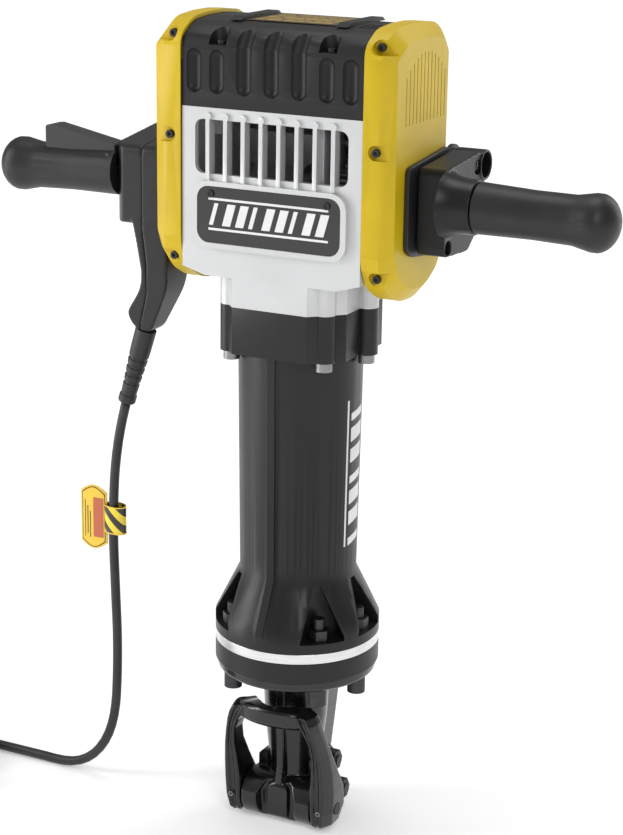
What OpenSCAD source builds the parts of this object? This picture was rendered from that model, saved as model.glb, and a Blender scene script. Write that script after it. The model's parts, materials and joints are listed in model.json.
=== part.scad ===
// Electric demolition hammer (pavement breaker) with a 28 mm hexagon tool holder.
// The tool's axis is Z, the mouth of the tool holder is at z = 0, the badge faces -Y
// and the two handles point along X, the switch handle towards -X.

/* [Tool holder] */
// Hexagon of the chisel's shank, across its flats
hex_flats = 28; // [27:0.5:29]
// Length of shank that the holder takes
shank_len = 160; // [158:1:161]
// Diameter of the round mouth below the hexagon
mouth_d = 34; // [33.6:0.2:34.4]

/* [Nose] */
// Underside of the nose plate
plate_z = 163; // [162:1:164]
// Thickness of the nose plate
plate_t = 11; // [10:1:11]
// Radius of the nose plate
plate_r = 80; // [79:0.5:82]
// Height of the latch's pivot
pivot_z = 25; // [24:0.5:26]
// Distance of the latch's pivot in front of the tool's axis
pivot_y = 26; // [26:0.5:27]
// Radius of the latch's pivot pin
pivot_r = 6.5; // [6:0.1:6.5]

/* [Lower flange] */
// Radius of the flange rings
ring_r = 82.75; // [82:0.25:84]
// Thickness of the black damper ring
damper_t = 21; // [20:1:22]
// Thickness of the bright ring
band_t = 10; // [9:1:10]
// Radius of the circle that the six nose bolts stand on
nose_bolt_pcr = 67.4; // [67:0.1:68]

/* [Barrel] */
// Radius of the barrel at its foot
barrel_r0 = 58.5; // [58:0.5:59]
// Radius of the barrel below the collar
barrel_r1 = 61.5; // [61:0.5:62]
// Inner radius of the barrel
barrel_bore_r = 52; // [51.9:0.1:52.2]
// Underside of the collar
collar_z = 498; // [497:1:499]
// Top of the collar, where the crankcase is bolted on
joint_z = 544; // [543:1:545]
// Radius of the circle that the six collar bolts stand on
collar_bolt_pcr = 70.6; // [70:0.2:71]

/* [Crankcase] */
// Width of the silver crankcase
case_w = 188; // [188:0.5:189]
// Depth of the silver crankcase, front to back
case_d = 136; // [136:0.5:138]
// Underside of the crankcase beside its neck
case_z = 572; // [571:0.5:573]
// Top of the crankcase, where the top cover starts
rim_z = 732; // [731:1:733]
// Wall of the crankcase
case_wall = 6; // [5:0.5:6]
// Number of cooling fins in the grill
fin_count = 8; // [6:2:10]

/* [Covers] */
// Top of the black top cover
top_z = 812; // [811:0.5:813]
// Outer face of the yellow side covers, from the middle
cover_x = 125; // [124:0.5:125]
// Wall of the covers
cover_wall = 3; // [2.5:0.5:3.5]
// Number of vent slots in each side cover
vent_count = 12; // [8:1:14]

/* [Striking parts] */
// Inner radius of the cylinder
bore_r = 35.05; // [35.03:0.01:35.08]
// Radius of the beat piece's head
beat_r = 24; // [23.5:0.5:24.5]
// Radius of the beat piece's stem
stem_r = 16.5; // [16:0.1:16.6]

/* [Crank drive] */
// Throw of the crank, half of the piston's stroke
crank_throw = 22; // [20:1:22]
// Height of the crank's axis
crank_z = 640; // [639.5:0.5:640.5]
// Distance between the eyes of the connecting rod
rod_len = 134; // [133:1:135]
// Module of all the gears
gear_module = 2; // [1.9:0.05:2]
// Teeth of the crank gear
crank_teeth = 48; // [46:1:48]
// Teeth of the small intermediate pinion
mid_pinion_teeth = 12; // [12:1:13]
// Teeth of the large intermediate wheel
mid_wheel_teeth = 38; // [37:1:38]
// Teeth of the motor's pinion
motor_teeth = 10; // [10:1:11]

/* [Handles] */
// Tip of each handle, from the middle
grip_tip = 325.5; // [322:0.5:329]
// Radius of the grips
grip_r = 23; // [22:0.5:24]
// Distance of the grips' axis in front of the tool's axis
grip_y = 22; // [21:0.5:23]
// Height of the grips' axis at their roots
grip_z = 655; // [654:0.5:656]
// Angle at which each grip droops from its root
grip_droop = 1.3; // [0:0.1:1.5]
// Distance of the handles' cross tube behind the tool's axis
tube_y = 61; // [60.5:0.5:61.5]
// Height of the cross tube
tube_z = 680; // [679.5:0.5:680.5]
// Radius of the cross tube
tube_r = 12; // [11:0.5:12]

/* [Cord] */
// Diameter of the mains cord
cord_d = 10; // [9:0.5:10]
// Mean diameter of the coil's turns
coil_d = 110; // [100:5:120]

/* [Hidden] */
$fn = 48;
arc_steps = 6;

// Angles of the six bolts of both flanges, from -Y towards +X
bolt_angles = [-135, -90, -45, 45, 90, 135];

// Flange stack, upwards
damper_z = plate_z + plate_t;
band_z = damper_z + damper_t;
foot_z = band_z + band_t;
sill_z = foot_z + 10;
skirt_z = sill_z + 7;
cone_z = foot_z + 66;
bolt_head_z = plate_z - 17;
bolt_hole_r = 6.5;
flange_bore_r = 50;

// Bolts across the back of the nose, as [height, half the width of the boss they clamp]
cross_bolt_places = [[20, 34], [50, 25]];
cross_bolt_y = 28;

// Gear centres and spans along X
mid_z = crank_z + gear_module * (crank_teeth + mid_pinion_teeth) / 2;
motor_z = mid_z + gear_module * (mid_wheel_teeth + motor_teeth) / 2;
plate_x0 = 40;
plate_x1 = 51;
low_mesh = [56, 68];
high_mesh = [70, 78];
outer_bearing_x = 79;
stator_r = 44;
bearing_w = 11;
small_bearing = [7.5, 17.5];
crank_bearing = [15, 27.5];

// Striking train, upwards
bushing_z = 14;
bushing_r = 18.5;
beat_z = plate_z + 0.2;
beat_step_z = beat_z + 35;
beat_top = 285;
sleeve_r = 40;
sleeve_top = 296;
striker_z = sleeve_top + 1.6;
striker_len = 90;
piston_r = bore_r - 0.05;
wrist_z = crank_z - crank_throw - rod_len;
piston_z = wrist_z - 35;
piston_len = 50;
wrist_r = 8;
pin_r = 10;

// Cover outline, shared by both side covers, as [y, z, corner radius]
cover_z = 815;
cover_corners = [
    [-70, 798, 18], [-45, 812.5, 40], [-14, cover_z, 60], [14, cover_z, 60], [45, 812.5, 40], [70, 798, 18],
    [70, 596, 30], [52, 572, 40], [14, 556, 60], [-24, 558, 60], [-58, 576, 40], [-70, 600, 30]
];

// Handle blocks
block_x0 = 133;
block_x1 = 161;
case_x1 = 188;
seam_x = 155;
spring_x = 144;
lug_z = 640;
roof_z = 670;
block_corners = [[-30, 606, 8], [-30, 687, 6], [52, 694, 8], [62, 664, 8], [52, 622, 14], [26, 603, 14]];
switch_corners = [[-42, 607, 8], [-42, 684, 8], [50, 696, 8], [62, 664, 8], [52, 622, 14], [26, 603, 14]];

// Trigger
trigger_x = [196, 271];
trigger_hinge_z = 672;
trigger_w = 22;

// Cord: its route from the strain relief to the coil, chosen by hand
cord_y = -30;
cord_route = [
    [-182, 421], [-187, 402], [-192, 378], [-196, 350], [-198, 322], [-199, 292], [-199, 262], [-198, 232],
    [-197, 202], [-196, 172], [-196, 142], [-197, 112], [-199, 86], [-204, 62], [-213, 41], [-227, 23],
    [-245, 11], [-266, 6], [-292, 6], [-320, 6], [-345, 6], [-370, 6], [-390, 6]
];
coil_x = -410;
coil_y = cord_y - coil_d / 2 - 15;
coil_rows = 3;
coil_ranks = 4;
tie_t = 1;
coil_w = coil_ranks * cord_d;
coil_h = coil_rows * cord_d;
plug_r = 17;

// ---- Shared geometry ----

function unit(v) = v / norm(v);

function flat(p) = [p[0], p[1]];

// Arc of radius r round the corner b of the path a, b, c
function corner(a, b, c, r) = let (
    u = unit(a - b),
    v = unit(c - b),
    half = acos(u * v) / 2,
    centre = b + unit(u + v) * r / sin(half),
    first = b + u * r / tan(half) - centre,
    last = b + v * r / tan(half) - centre,
    start = atan2(first[1], first[0]),
    turn = atan2(first[0] * last[1] - first[1] * last[0], first * last)
) r == 0 ? [b] : [
    for (i = [0 : arc_steps])
        let (t = start + turn * i / arc_steps) centre + r * [cos(t), sin(t)]
];

// Outline with rounded corners, each given as [x, y, radius]
function outline(c) = let (n = len(c)) [
    for (i = [0 : n - 1])
        each corner(flat(c[(i + n - 1) % n]), flat(c[i]), flat(c[(i + 1) % n]), c[i][2])
];

function rounded_rect(x0, y0, x1, y1, r) = outline([[x0, y0, r], [x1, y0, r], [x1, y1, r], [x0, y1, r]]);

// The outline's corners, moved inwards by d towards the point c
function inset(corners, d, c) = [
    for (p = corners)
        let (v = unit(flat(p) - c)) [p[0] - d * v[0], p[1] - d * v[1], max(1, p[2] - d)]
];

// Extrudes a Y-Z profile along X
module along_x(x0, x1) {
    translate([x0, 0, 0]) rotate([90, 0, 90]) linear_extrude(x1 - x0) children();
}

// Extrudes an X-Z profile along Y
module along_y(y0, y1) {
    translate([0, y1, 0]) rotate([90, 0, 0]) linear_extrude(y1 - y0) children();
}

module rod_x(x0, x1, y, z, r) {
    translate([x0, y, z]) rotate([0, 90, 0]) cylinder(r = r, h = x1 - x0);
}

module rod_y(x, y0, y1, z, r) {
    translate([x, y0, z]) rotate([-90, 0, 0]) cylinder(r = r, h = y1 - y0);
}

module rod_z(x, y, z0, z1, r) {
    translate([x, y, z0]) cylinder(r = r, h = z1 - z0);
}

module box(x0, x1, y0, y1, z0, z1) {
    translate([x0, y0, z0]) cube([x1 - x0, y1 - y0, z1 - z0]);
}

module ring(z0, z1, r0, r1) {
    difference() {
        rod_z(0, 0, z0, z1, r1);
        rod_z(0, 0, z0 - 1, z1 + 1, r0);
    }
}

module both_sides() {
    children();
    mirror([1, 0, 0]) children();
}

module front_and_back() {
    children();
    mirror([0, 1, 0]) children();
}

// Puts its children, drawn in front of the axis, at each bolt of a flange
module at_bolts(r) {
    for (a = bolt_angles) rotate([0, 0, a]) translate([0, -r, 0]) children();
}

module hexagon(flats) {
    circle(r = flats / 2 / cos(30), $fn = 6);
}

// Plan of the collar and the crankcase's neck: a square with cut corners, and a boss at each bolt
module collar_plan() {
    half = case_d / 2;
    flat = 40;
    polygon([
        [-flat, -half], [flat, -half], [half, -flat], [half, flat],
        [flat, half], [-flat, half], [-half, flat], [-half, -flat]
    ]);
    at_bolts(collar_bolt_pcr) circle(r = 11);
}

module collar_holes(z0, z1) {
    at_bolts(collar_bolt_pcr) rod_z(0, 0, z0, z1, 5.2);
}

module flange_holes(z0, z1) {
    at_bolts(nose_bolt_pcr) rod_z(0, 0, z0, z1, bolt_hole_r);
}

// Involute tooth flank: the turn in degrees from the base circle to radius r
function involute_turn(base, r) = let (a = acos(min(1, base / r))) tan(a) * 180 / PI - a;

// Spur gear with straight teeth, a tooth on its +Y side before it is turned
function gear_outline(teeth, play) = let (
    pitch = gear_module * teeth / 2,
    base = pitch * cos(20),
    tip = pitch + 0.8 * gear_module,
    root = pitch - 1.15 * gear_module,
    half = 90 / teeth - play / pitch * 180 / PI + involute_turn(base, pitch),
    low = max(base, root),
    flank = [for (i = [0 : 3]) low + (tip - low) * i / 3]
) [
    for (k = [0 : teeth - 1])
        let (mid = 90 + 360 * k / teeth)
        each concat(
            [root * [cos(mid - half), sin(mid - half)]],
            [for (r = flank) let (a = mid - half + involute_turn(base, r)) r * [cos(a), sin(a)]],
            [
                for (i = [3 : -1 : 0])
                    let (a = mid + half - involute_turn(base, flank[i])) flank[i] * [cos(a), sin(a)]
            ],
            [root * [cos(mid + half), sin(mid + half)]]
        )
];

module gear(teeth, span, z, bore, turn) {
    along_x(span[0], span[1]) translate([0, z]) difference() {
        rotate([0, 0, turn]) polygon(gear_outline(teeth, 0.12));
        if (bore > 0) circle(r = bore);
    }
}

module bearing(x, z, size) {
    difference() {
        rod_x(x, x + bearing_w, 0, z, size[1]);
        rod_x(x - 1, x + bearing_w + 1, 0, z, size[0] + 0.05);
    }
}

// Tube along a list of points: a ring of sides at each point
function tube_points(path, r, sides) = [
    for (i = [0 : len(path) - 1])
        let (
            t = unit(path[min(i + 1, len(path) - 1)] - path[max(i - 1, 0)]),
            u = unit(cross(t, [0, 1, 0])),
            v = cross(u, t)
        )
        for (k = [0 : sides - 1])
            path[i] + r * (u * cos(360 * k / sides) + v * sin(360 * k / sides))
];

function tube_faces(rings, sides) = concat(
    [[for (k = [0 : sides - 1]) k]],
    [
        for (i = [0 : rings - 2], k = [0 : sides - 1])
            let (a = i * sides, b = a + sides, n = (k + 1) % sides) [a + k, b + k, b + n, a + n]
    ],
    [[for (k = [sides - 1 : -1 : 0]) (rings - 1) * sides + k]]
);

module tube(path, r, sides) {
    polyhedron(tube_points(path, r, sides), tube_faces(len(path), sides));
}

// ---- Housing ----

module case_outline() {
    half = case_w / 2;
    polygon(outline([
        [-half, case_z + 7, 0], [-half + 24, case_z, 0], [half - 24, case_z, 0], [half, case_z + 7, 0],
        [half, rim_z, 0], [-half, rim_z, 0]
    ]));
}

module grill_fins() {
    pitch = 18.7;
    for (i = [0 : fin_count - 1]) {
        x = (i - (fin_count - 1) / 2) * pitch;
        box(x - 2.1, x + 2.1, -case_d / 2 - 2.5, -case_d / 2 + 8, 664, 724);
        rod_y(x, -case_d / 2 - 2.5, -case_d / 2 + 8, 724, 3.5);
    }
}

module badge_bezel() {
    along_y(-case_d / 2 - 5, -case_d / 2) polygon(rounded_rect(-81, 600, 81, 664, 16));
}

// Boss that carries a bearing on the inside of a side wall
module bearing_boss(x0, x1, z, r) {
    rod_x(x0, x1, 0, z, r);
}

// Ribs that the motor's stator lies in
module stator_ribs(inner_y) {
    difference() {
        for (x = [-38, 8]) box(x, x + 8, -inner_y - 1, inner_y + 1, 722, rim_z);
        rod_x(-50, 30, 0, motor_z, stator_r);
    }
}

module crankcase() color("silver") {
    inner_x = case_w / 2 - case_wall;
    inner_y = case_d / 2 - case_wall;
    difference() {
        union() {
            difference() {
                along_y(-case_d / 2, case_d / 2) case_outline();
                box(-inner_x, inner_x, -inner_y, inner_y, case_z + case_wall, rim_z + 1);
                along_y(-case_d, 0) polygon(rounded_rect(-80, 670, 80, 721, 8));
            }
            translate([0, 0, joint_z]) linear_extrude(case_z - joint_z + case_wall) collar_plan();
            box(-case_w / 2, case_w / 2, tube_y - 16, case_d / 2, tube_z - 17, tube_z + 17);
            grill_fins();
            badge_bezel();
            bearing_boss(outer_bearing_x, inner_x + 1, crank_z, crank_bearing[1] + 5);
            bearing_boss(outer_bearing_x, inner_x + 1, mid_z, small_bearing[1] + 4);
            box(-inner_x - 1, -inner_x + 11, -22, 22, 700, motor_z + 24);
            stator_ribs(inner_y);
        }
        rod_z(0, 0, joint_z - 1, case_z + case_wall + 1, 44);
        collar_holes(joint_z - 1, 572);
        box(-case_w, case_w, tube_y - tube_r - 0.6, case_d, tube_z - tube_r - 2, tube_z + tube_r + 2);
        along_y(-case_d / 2 - 6, -case_d / 2 - 2) polygon(rounded_rect(-75.3, 605.2, 75.3, 659.3, 12));
        rod_x(outer_bearing_x - 1, outer_bearing_x + bearing_w, 0, crank_z, crank_bearing[1]);
        rod_x(outer_bearing_x - 1, outer_bearing_x + bearing_w, 0, mid_z, small_bearing[1]);
        rod_x(-inner_x - 0.1, -inner_x + 12, 0, motor_z, small_bearing[1]);
    }
}

// Outline of the top cover, d inside its outer face
module top_outline(d) {
    face_y = case_d / 2 - d;
    bend = [44 - d * 0.3, top_z - 2.5 - d * 0.95];
    shoulder_z = 796 - d * 0.6;
    polygon(outline([
        [-face_y, rim_z - 1, 0], [-face_y, shoulder_z, 18], [-bend[0], bend[1], 40], [-14, top_z - d, 60],
        [14, top_z - d, 60], [bend[0], bend[1], 40], [face_y, shoulder_z, 18], [face_y, rim_z - 1, 0]
    ]));
}

// One flute: an upright groove with round ends, a long one bends over the shoulder
module flute(x, long) {
    depth_y = -case_d / 2 - 4;
    z0 = 753;
    z1 = long ? 791 : 778;
    r = 9;
    rod_z(x, depth_y, z0, z1, r);
    for (z = [z0, z1]) translate([x, depth_y, z]) sphere(r = r);
    if (long) {
        translate([x, depth_y, z1]) rotate([-35.4, 0, 0]) {
            cylinder(r = r, h = 18);
            translate([0, 0, 18]) sphere(r = r);
        }
    }
}

// Recess for a screw of the top cover, its back wall round
module screw_pocket(x) {
    rod_z(x, -60, 790, top_z + 3, 9);
    box(x - 9, x + 9, -75, -60, 790, top_z + 3);
}

// Solid corner of the top cover below and behind a screw pocket
module pocket_wall(x) {
    intersection() {
        along_x(x - 12, x + 12) top_outline(0);
        box(x - 12, x + 12, -68, -40, 778, top_z);
    }
}

// Low rib beside the label, tapered at both ends
module top_hump(x) {
    along_x(x - 6, x + 6) polygon([
        [-40, top_z - 1], [-30, top_z + 2.5], [36, top_z + 2.5], [42, top_z - 1]
    ]);
}

module top_cover() color([0.16, 0.16, 0.17]) difference() {
    union() {
        difference() {
            along_x(-case_w / 2, case_w / 2) top_outline(0);
            along_x(-case_w / 2 + cover_wall, case_w / 2 - cover_wall) top_outline(7);
        }
        for (x = [-53, 57]) top_hump(x);
        for (x = [-57, 57]) front_and_back() pocket_wall(x);
    }
    box(-case_w, case_w, -case_d, case_d, rim_z - 2, rim_z);
    front_and_back() {
        for (x = [-28.5, 0, 28.5]) flute(x, true);
        for (x = [-57, 57, -81, 81]) flute(x, false);
        for (x = [-57, 57]) screw_pocket(x);
        for (x = [-57, 57]) rod_z(x, -58, 775, 800, 2.6);
    }
    for (i = [0 : 4], y = [-22, 18]) box(71 + 4 * i, 72.8 + 4 * i, y - 12, y + 12, top_z - 9, top_z + 1);
    box(-46, 50, -33, 40, top_z - 1, top_z + 4);
}

module top_label() color([0.85, 0.6, 0.12]) {
    box(-45.5, 49.5, -32.5, 39.5, top_z - 1, top_z - 0.3);
}

// Right-hand side cover, a pan with chamfered edges, the back one wider, d inside its outer face
module cover_body(d) {
    middle = [0, 690];
    back_share = 0.8;
    hull() {
        along_x(case_w / 2 + 1 - (d > 0 ? 2 : 0), 113) polygon(outline(inset(cover_corners, d, middle)));
        along_x(case_w / 2 + 2, cover_x - d) polygon(outline([
            for (p = inset(cover_corners, d + 13, middle)) [p[0] > 0 ? p[0] * back_share : p[0], p[1], p[2]]
        ]));
    }
}

module cover_screw_places() {
    places = [[-58, 798], [-66, 704], [-58, 586]];
    front_and_back() for (p = places) translate([107.5, p[0], p[1]]) children();
}

module side_cover() {
    difference() {
        cover_body(0);
        difference() {
            cover_body(cover_wall);
            cover_screw_places() {
                rod_y(0, -12, 12, 0, 9);
                box(0, 20, -12, 3, -9, 9);
            }
        }
        cover_screw_places() {
            rod_y(0, -14, 0, 0, 7);
            box(0, 20, -14, 0, -7, 7);
        }
        cover_screw_places() rod_y(0, -1, 13, 0, 2.2);
        rod_x(90, cover_x + 1, tube_y, tube_z, tube_r + 0.6);
        for (i = [0 : vent_count - 1]) {
            y = (i - (vent_count - 1) / 2) * 7.8;
            box(cover_x - 8, cover_x + 1, y - 0.8, y + 0.8, 726, 790 - abs(y) * abs(y) / 90);
        }
    }
}

module right_cover() color([0.93, 0.76, 0.1]) side_cover();

module left_cover() color([0.93, 0.76, 0.1]) mirror([1, 0, 0]) side_cover();

// Countersunk-looking pan screw along Y, its head's underside at y = 0
module small_screw(head_r, head_h, shank_r, shank_len) {
    difference() {
        rod_y(0, -head_h, 0, 0, head_r);
        translate([0, -head_h / 2, 0]) rotate([90, 0, 0]) cylinder(r = head_r * 0.45, h = head_h, $fn = 6);
    }
    rod_y(0, 0, shank_len, 0, shank_r);
}

module cover_screws() color([0.2, 0.2, 0.21]) {
    both_sides() cover_screw_places() small_screw(3.9, 3.5, 2.1, 12);
    front_and_back() for (x = [-57, 57]) {
        rod_z(x, -58, 790, 794, 4.6);
        rod_z(x, -58, 776, 790, 2.5);
    }
}

module badge_plate() color([0.1, 0.1, 0.1]) difference() {
    along_y(-case_d / 2 - 4.5, -case_d / 2 - 2) polygon(rounded_rect(-75, 605.5, 75, 659, 11.7));
    for (x = [-60.8, 60.8]) rod_y(x, -case_d, 0, 652, 2);
}

module badge_screws() color([0.25, 0.25, 0.26]) for (x = [-60.8, 60.8]) {
    translate([x, -case_d / 2 - 4.5, 652]) {
        difference() {
            rod_y(0, -1.5, 0, 0, 3.6);
            translate([0, -1, 0]) rotate([90, 0, 0]) cylinder(r = 1.6, h = 3, $fn = 6);
        }
        rod_y(0, 0, 2.5, 0, 1.9);
    }
}

// Fixed pad between a side cover and its handle block, with the spring's lug
module base_plate() {
    corners = [
        [-43, 611, 10], [-43, 688, 8], [48, 697, 6], [60, 640, 14], [50, 612, 14], [26, 597, 14],
        [-30, 604, 14]
    ];
    difference() {
        union() {
            along_x(cover_x, cover_x + 5) polygon(outline(corners));
            rod_x(cover_x, cover_x + 5, tube_y, tube_z, tube_r + 5);
            box(cover_x + 5, spring_x + 8, -12, 12, lug_z - 4, lug_z + 4);
        }
        rod_x(cover_x - 1, cover_x + 6, tube_y, tube_z, tube_r + 0.6);
    }
}

module base_plates() color([0.09, 0.09, 0.1]) both_sides() base_plate();

// ---- Barrel and flange ----

module bolt_window() {
    along_y(-34, -1) polygon([
        [-23, sill_z], [23, sill_z], [23, sill_z + 4], [4, cone_z - 4], [-4, cone_z - 4], [-23, sill_z + 4]
    ]);
}

module front_ridge() {
    along_x(-4, 4) polygon([
        [-55, sill_z + 2], [-ring_r - 1, sill_z + 2], [-ring_r - 1, skirt_z],
        [-barrel_r0 - 1.8, cone_z + 1], [-barrel_r1 - 1.5, collar_z], [-55, collar_z]
    ]);
}

module barrel() color([0.2, 0.2, 0.21]) difference() {
    union() {
        rotate_extrude() polygon([
            [barrel_bore_r, foot_z], [ring_r, foot_z], [ring_r, skirt_z], [barrel_r0, cone_z],
            [barrel_r1, collar_z], [barrel_r1, collar_z + 1], [barrel_bore_r, collar_z + 1]
        ]);
        translate([0, 0, collar_z]) linear_extrude(joint_z - collar_z) collar_plan();
        front_ridge();
    }
    rod_z(0, 0, foot_z - 1, joint_z + 1, barrel_bore_r);
    at_bolts(56.5) bolt_window();
    flange_holes(foot_z - 1, sill_z + 1);
    collar_holes(collar_z - 1, joint_z + 1);
}

module barrel_bolts() color([0.55, 0.55, 0.57]) at_bolts(collar_bolt_pcr) {
    difference() {
        rod_z(0, 0, collar_z - 9, collar_z, 8);
        translate([0, 0, collar_z - 10]) cylinder(r = 4.6, h = 6, $fn = 6);
    }
    rod_z(0, 0, collar_z, 571, 5);
}

module barrel_band() color([0.8, 0.8, 0.81]) difference() {
    ring(band_z, foot_z, flange_bore_r, ring_r);
    flange_holes(band_z - 1, foot_z + 1);
}

module damper_ring() color([0.14, 0.14, 0.15]) difference() {
    ring(damper_z, band_z, flange_bore_r, ring_r);
    flange_holes(damper_z - 1, band_z + 1);
}

module nose_bolts() color([0.13, 0.13, 0.14]) at_bolts(nose_bolt_pcr) {
    difference() {
        rod_z(0, 0, bolt_head_z, plate_z, 9);
        translate([0, 0, bolt_head_z - 1]) cylinder(r = 5.8, h = 8, $fn = 6);
    }
    rod_z(0, 0, plate_z, sill_z + 22, 6);
}

module nose_nuts() color([0.22, 0.22, 0.23]) at_bolts(nose_bolt_pcr) translate([0, 0, sill_z]) {
    linear_extrude(11) difference() {
        hexagon(19);
        circle(r = 6);
    }
}

// ---- Nose ----

// Web at the back of the nose, from the plate down to the lugs
module nose_web() {
    along_x(14, 22) polygon([[15, plate_z], [60, plate_z], [55, 122], [39, 60], [15, 60]]);
}

// Arched recess in the front of the pivot boss, with a tongue down its middle
module nose_niche() {
    difference() {
        along_y(-60, -35) polygon(outline([
            [-19, -5, 0], [19, -5, 0], [22, 30, 10], [14, 46, 12], [-14, 46, 12], [-22, 30, 10]
        ]));
        along_y(-41, -30) polygon([
            [-11.5, -6], [11.5, -6], [11.5, 38], [4, 52], [-4, 52], [-11.5, 38]
        ]);
    }
}

module nose() color([0.07, 0.07, 0.08]) difference() {
    union() {
        rotate_extrude() polygon([
            [0, damper_z], [plate_r, damper_z], [plate_r, plate_z + 3], [plate_r - 3, plate_z],
            [42, plate_z], [34, plate_z - 12], [32, 110], [27, 62], [27, 40], [27, 3], [24, 0], [0, 0]
        ]);
        along_x(-4, 4) polygon([
            [-20, 30], [-41, 36], [-36, 62], [-38, plate_z - 8], [-42, plate_z], [-20, plate_z]
        ]);
        rod_x(-39, 39, -pivot_y + 3, pivot_z, 24);
        along_y(-14, 15) polygon([[-36, 30], [36, 30], [36, 60], [30, 66], [-30, 66], [-36, 60]]);
        for (b = cross_bolt_places) {
            rod_x(-b[1], b[1], cross_bolt_y, b[0], 14);
            box(-b[1], b[1], 10, cross_bolt_y, b[0] - 14, b[0] + 14);
        }
        both_sides() nose_web();
    }
    rod_z(0, 0, bushing_z, damper_z + 1, bushing_r);
    rod_z(0, 0, -1, bushing_z + 1, mouth_d / 2);
    rod_x(-50, 50, -pivot_y, pivot_z, pivot_r + 0.05);
    for (b = cross_bolt_places) rod_x(-50, 50, cross_bolt_y, b[0], 6.2);
    nose_niche();
    flange_holes(plate_z - 1, damper_z + 1);
}

module cross_bolts() color([0.12, 0.12, 0.13]) for (b = cross_bolt_places) {
    translate([0, cross_bolt_y, b[0]]) rotate([90, 0, 90]) {
        translate([0, 0, -b[1] - 10]) linear_extrude(10) hexagon(20);
        translate([0, 0, -b[1]]) cylinder(r = 6, h = 2 * b[1] + 12);
        translate([0, 0, b[1]]) linear_extrude(10) difference() {
            hexagon(20);
            circle(r = 6);
        }
    }
}

module tool_bushing() color([0.5, 0.5, 0.52]) difference() {
    rod_z(0, 0, bushing_z, shank_len, bushing_r);
    translate([0, 0, bushing_z - 1]) linear_extrude(shank_len) hexagon(hex_flats + 0.3);
}

// ---- Striking parts ----

module beat_sleeve() color([0.6, 0.6, 0.62]) difference() {
    union() {
        rod_z(0, 0, damper_z, sleeve_top, sleeve_r);
        rod_z(0, 0, sleeve_top - 8, sleeve_top, barrel_bore_r - 0.1);
    }
    rod_z(0, 0, damper_z - 1, sleeve_top + 1, stem_r + 0.05);
    rod_z(0, 0, beat_step_z - 0.3, sleeve_top + 1, beat_r + 0.05);
}

module shock_ring() color([0.1, 0.1, 0.1]) ring(damper_z + 2, foot_z - 2, sleeve_r, flange_bore_r);

module cylinder_tube() color([0.62, 0.62, 0.64]) difference() {
    union() {
        rod_z(0, 0, sleeve_top, 560, 42);
        rod_z(0, 0, joint_z - 12, joint_z, barrel_bore_r - 0.1);
    }
    rod_z(0, 0, sleeve_top - 1, 561, bore_r);
}

module beat_piece() color([0.66, 0.66, 0.68]) {
    rod_z(0, 0, beat_z, beat_step_z, stem_r);
    rod_z(0, 0, beat_step_z, beat_top, beat_r);
}

module striker() color([0.6, 0.6, 0.62]) difference() {
    rod_z(0, 0, striker_z, striker_z + striker_len, piston_r);
    for (z = [20, striker_len - 20]) ring(striker_z + z, striker_z + z + 4, piston_r - 2.5, piston_r + 1);
}

module piston() color([0.7, 0.7, 0.72]) difference() {
    rod_z(0, 0, piston_z, piston_z + piston_len, piston_r);
    rod_z(0, 0, wrist_z - 18, piston_z + piston_len + 1, 27);
    rod_x(-60, 60, 0, wrist_z, wrist_r);
    ring(piston_z + 6, piston_z + 10, piston_r - 2.5, piston_r + 1);
}

module wrist_pin() color([0.75, 0.75, 0.77]) rod_x(-32, 32, 0, wrist_z, wrist_r);

module connecting_rod() color([0.7, 0.7, 0.72]) difference() {
    union() {
        rod_x(-7, 7, 0, wrist_z, 14);
        rod_x(-7, 7, 0, wrist_z + rod_len, 17);
        along_x(-6, 6) polygon([
            [-8, wrist_z], [8, wrist_z], [11, wrist_z + rod_len], [-11, wrist_z + rod_len]
        ]);
    }
    rod_x(-8, 8, 0, wrist_z, wrist_r + 0.05);
    rod_x(-8, 8, 0, wrist_z + rod_len, pin_r);
}

module crank_pin() color([0.75, 0.75, 0.77]) rod_x(-7.5, 7.7, 0, wrist_z + rod_len, pin_r);

// ---- Crank drive ----

module crankshaft() color([0.62, 0.62, 0.64]) difference() {
    union() {
        rod_x(8, 20, 0, crank_z, 36);
        rod_x(20, 89.5, 0, crank_z, crank_bearing[0]);
    }
    rod_x(7, 21, 0, crank_z - crank_throw, pin_r + 0.1);
}

module crank_gear() color([0.55, 0.55, 0.58]) gear(crank_teeth, low_mesh, crank_z, crank_bearing[0], 0);

module intermediate_gear() color([0.58, 0.58, 0.6]) {
    gear(mid_pinion_teeth, low_mesh, mid_z, 0, 180 / mid_pinion_teeth);
    gear(mid_wheel_teeth, high_mesh, mid_z, 0, 0);
    rod_x(plate_x0, 89.5, 0, mid_z, small_bearing[0]);
}

module armature() color([0.5, 0.5, 0.52]) {
    rod_x(-87.5, 68, 0, motor_z, small_bearing[0]);
    rod_x(-40, 20, 0, motor_z, 24);
    gear(motor_teeth, [68, 80], motor_z, 0, 180 / motor_teeth);
}

module commutator() color([0.72, 0.42, 0.2]) difference() {
    rod_x(-64, -46, 0, motor_z, 16);
    rod_x(-65, -45, 0, motor_z, small_bearing[0]);
}

module fan() color([0.15, 0.15, 0.16]) translate([0, 0, motor_z]) rotate([0, 90, 0]) {
    difference() {
        union() {
            translate([0, 0, 34]) cylinder(r = 40, h = 2);
            translate([0, 0, 24]) cylinder(r = 12, h = 12);
            for (i = [0 : 8]) rotate([0, 0, 40 * i]) translate([11, -1, 25]) cube([28, 2, 9.5]);
        }
        translate([0, 0, 23]) cylinder(r = small_bearing[0], h = 14);
    }
}

module motor_stator() color([0.45, 0.45, 0.47]) difference() {
    rod_x(-42, 21, 0, motor_z, stator_r);
    rod_x(-43, 22, 0, motor_z, 25);
}

module brush_holder() {
    difference() {
        box(-62, -42, 18, 36, motor_z - 7, motor_z + 7);
        box(-59, -51, 17, 34, motor_z - 4, motor_z + 4);
    }
}

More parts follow.
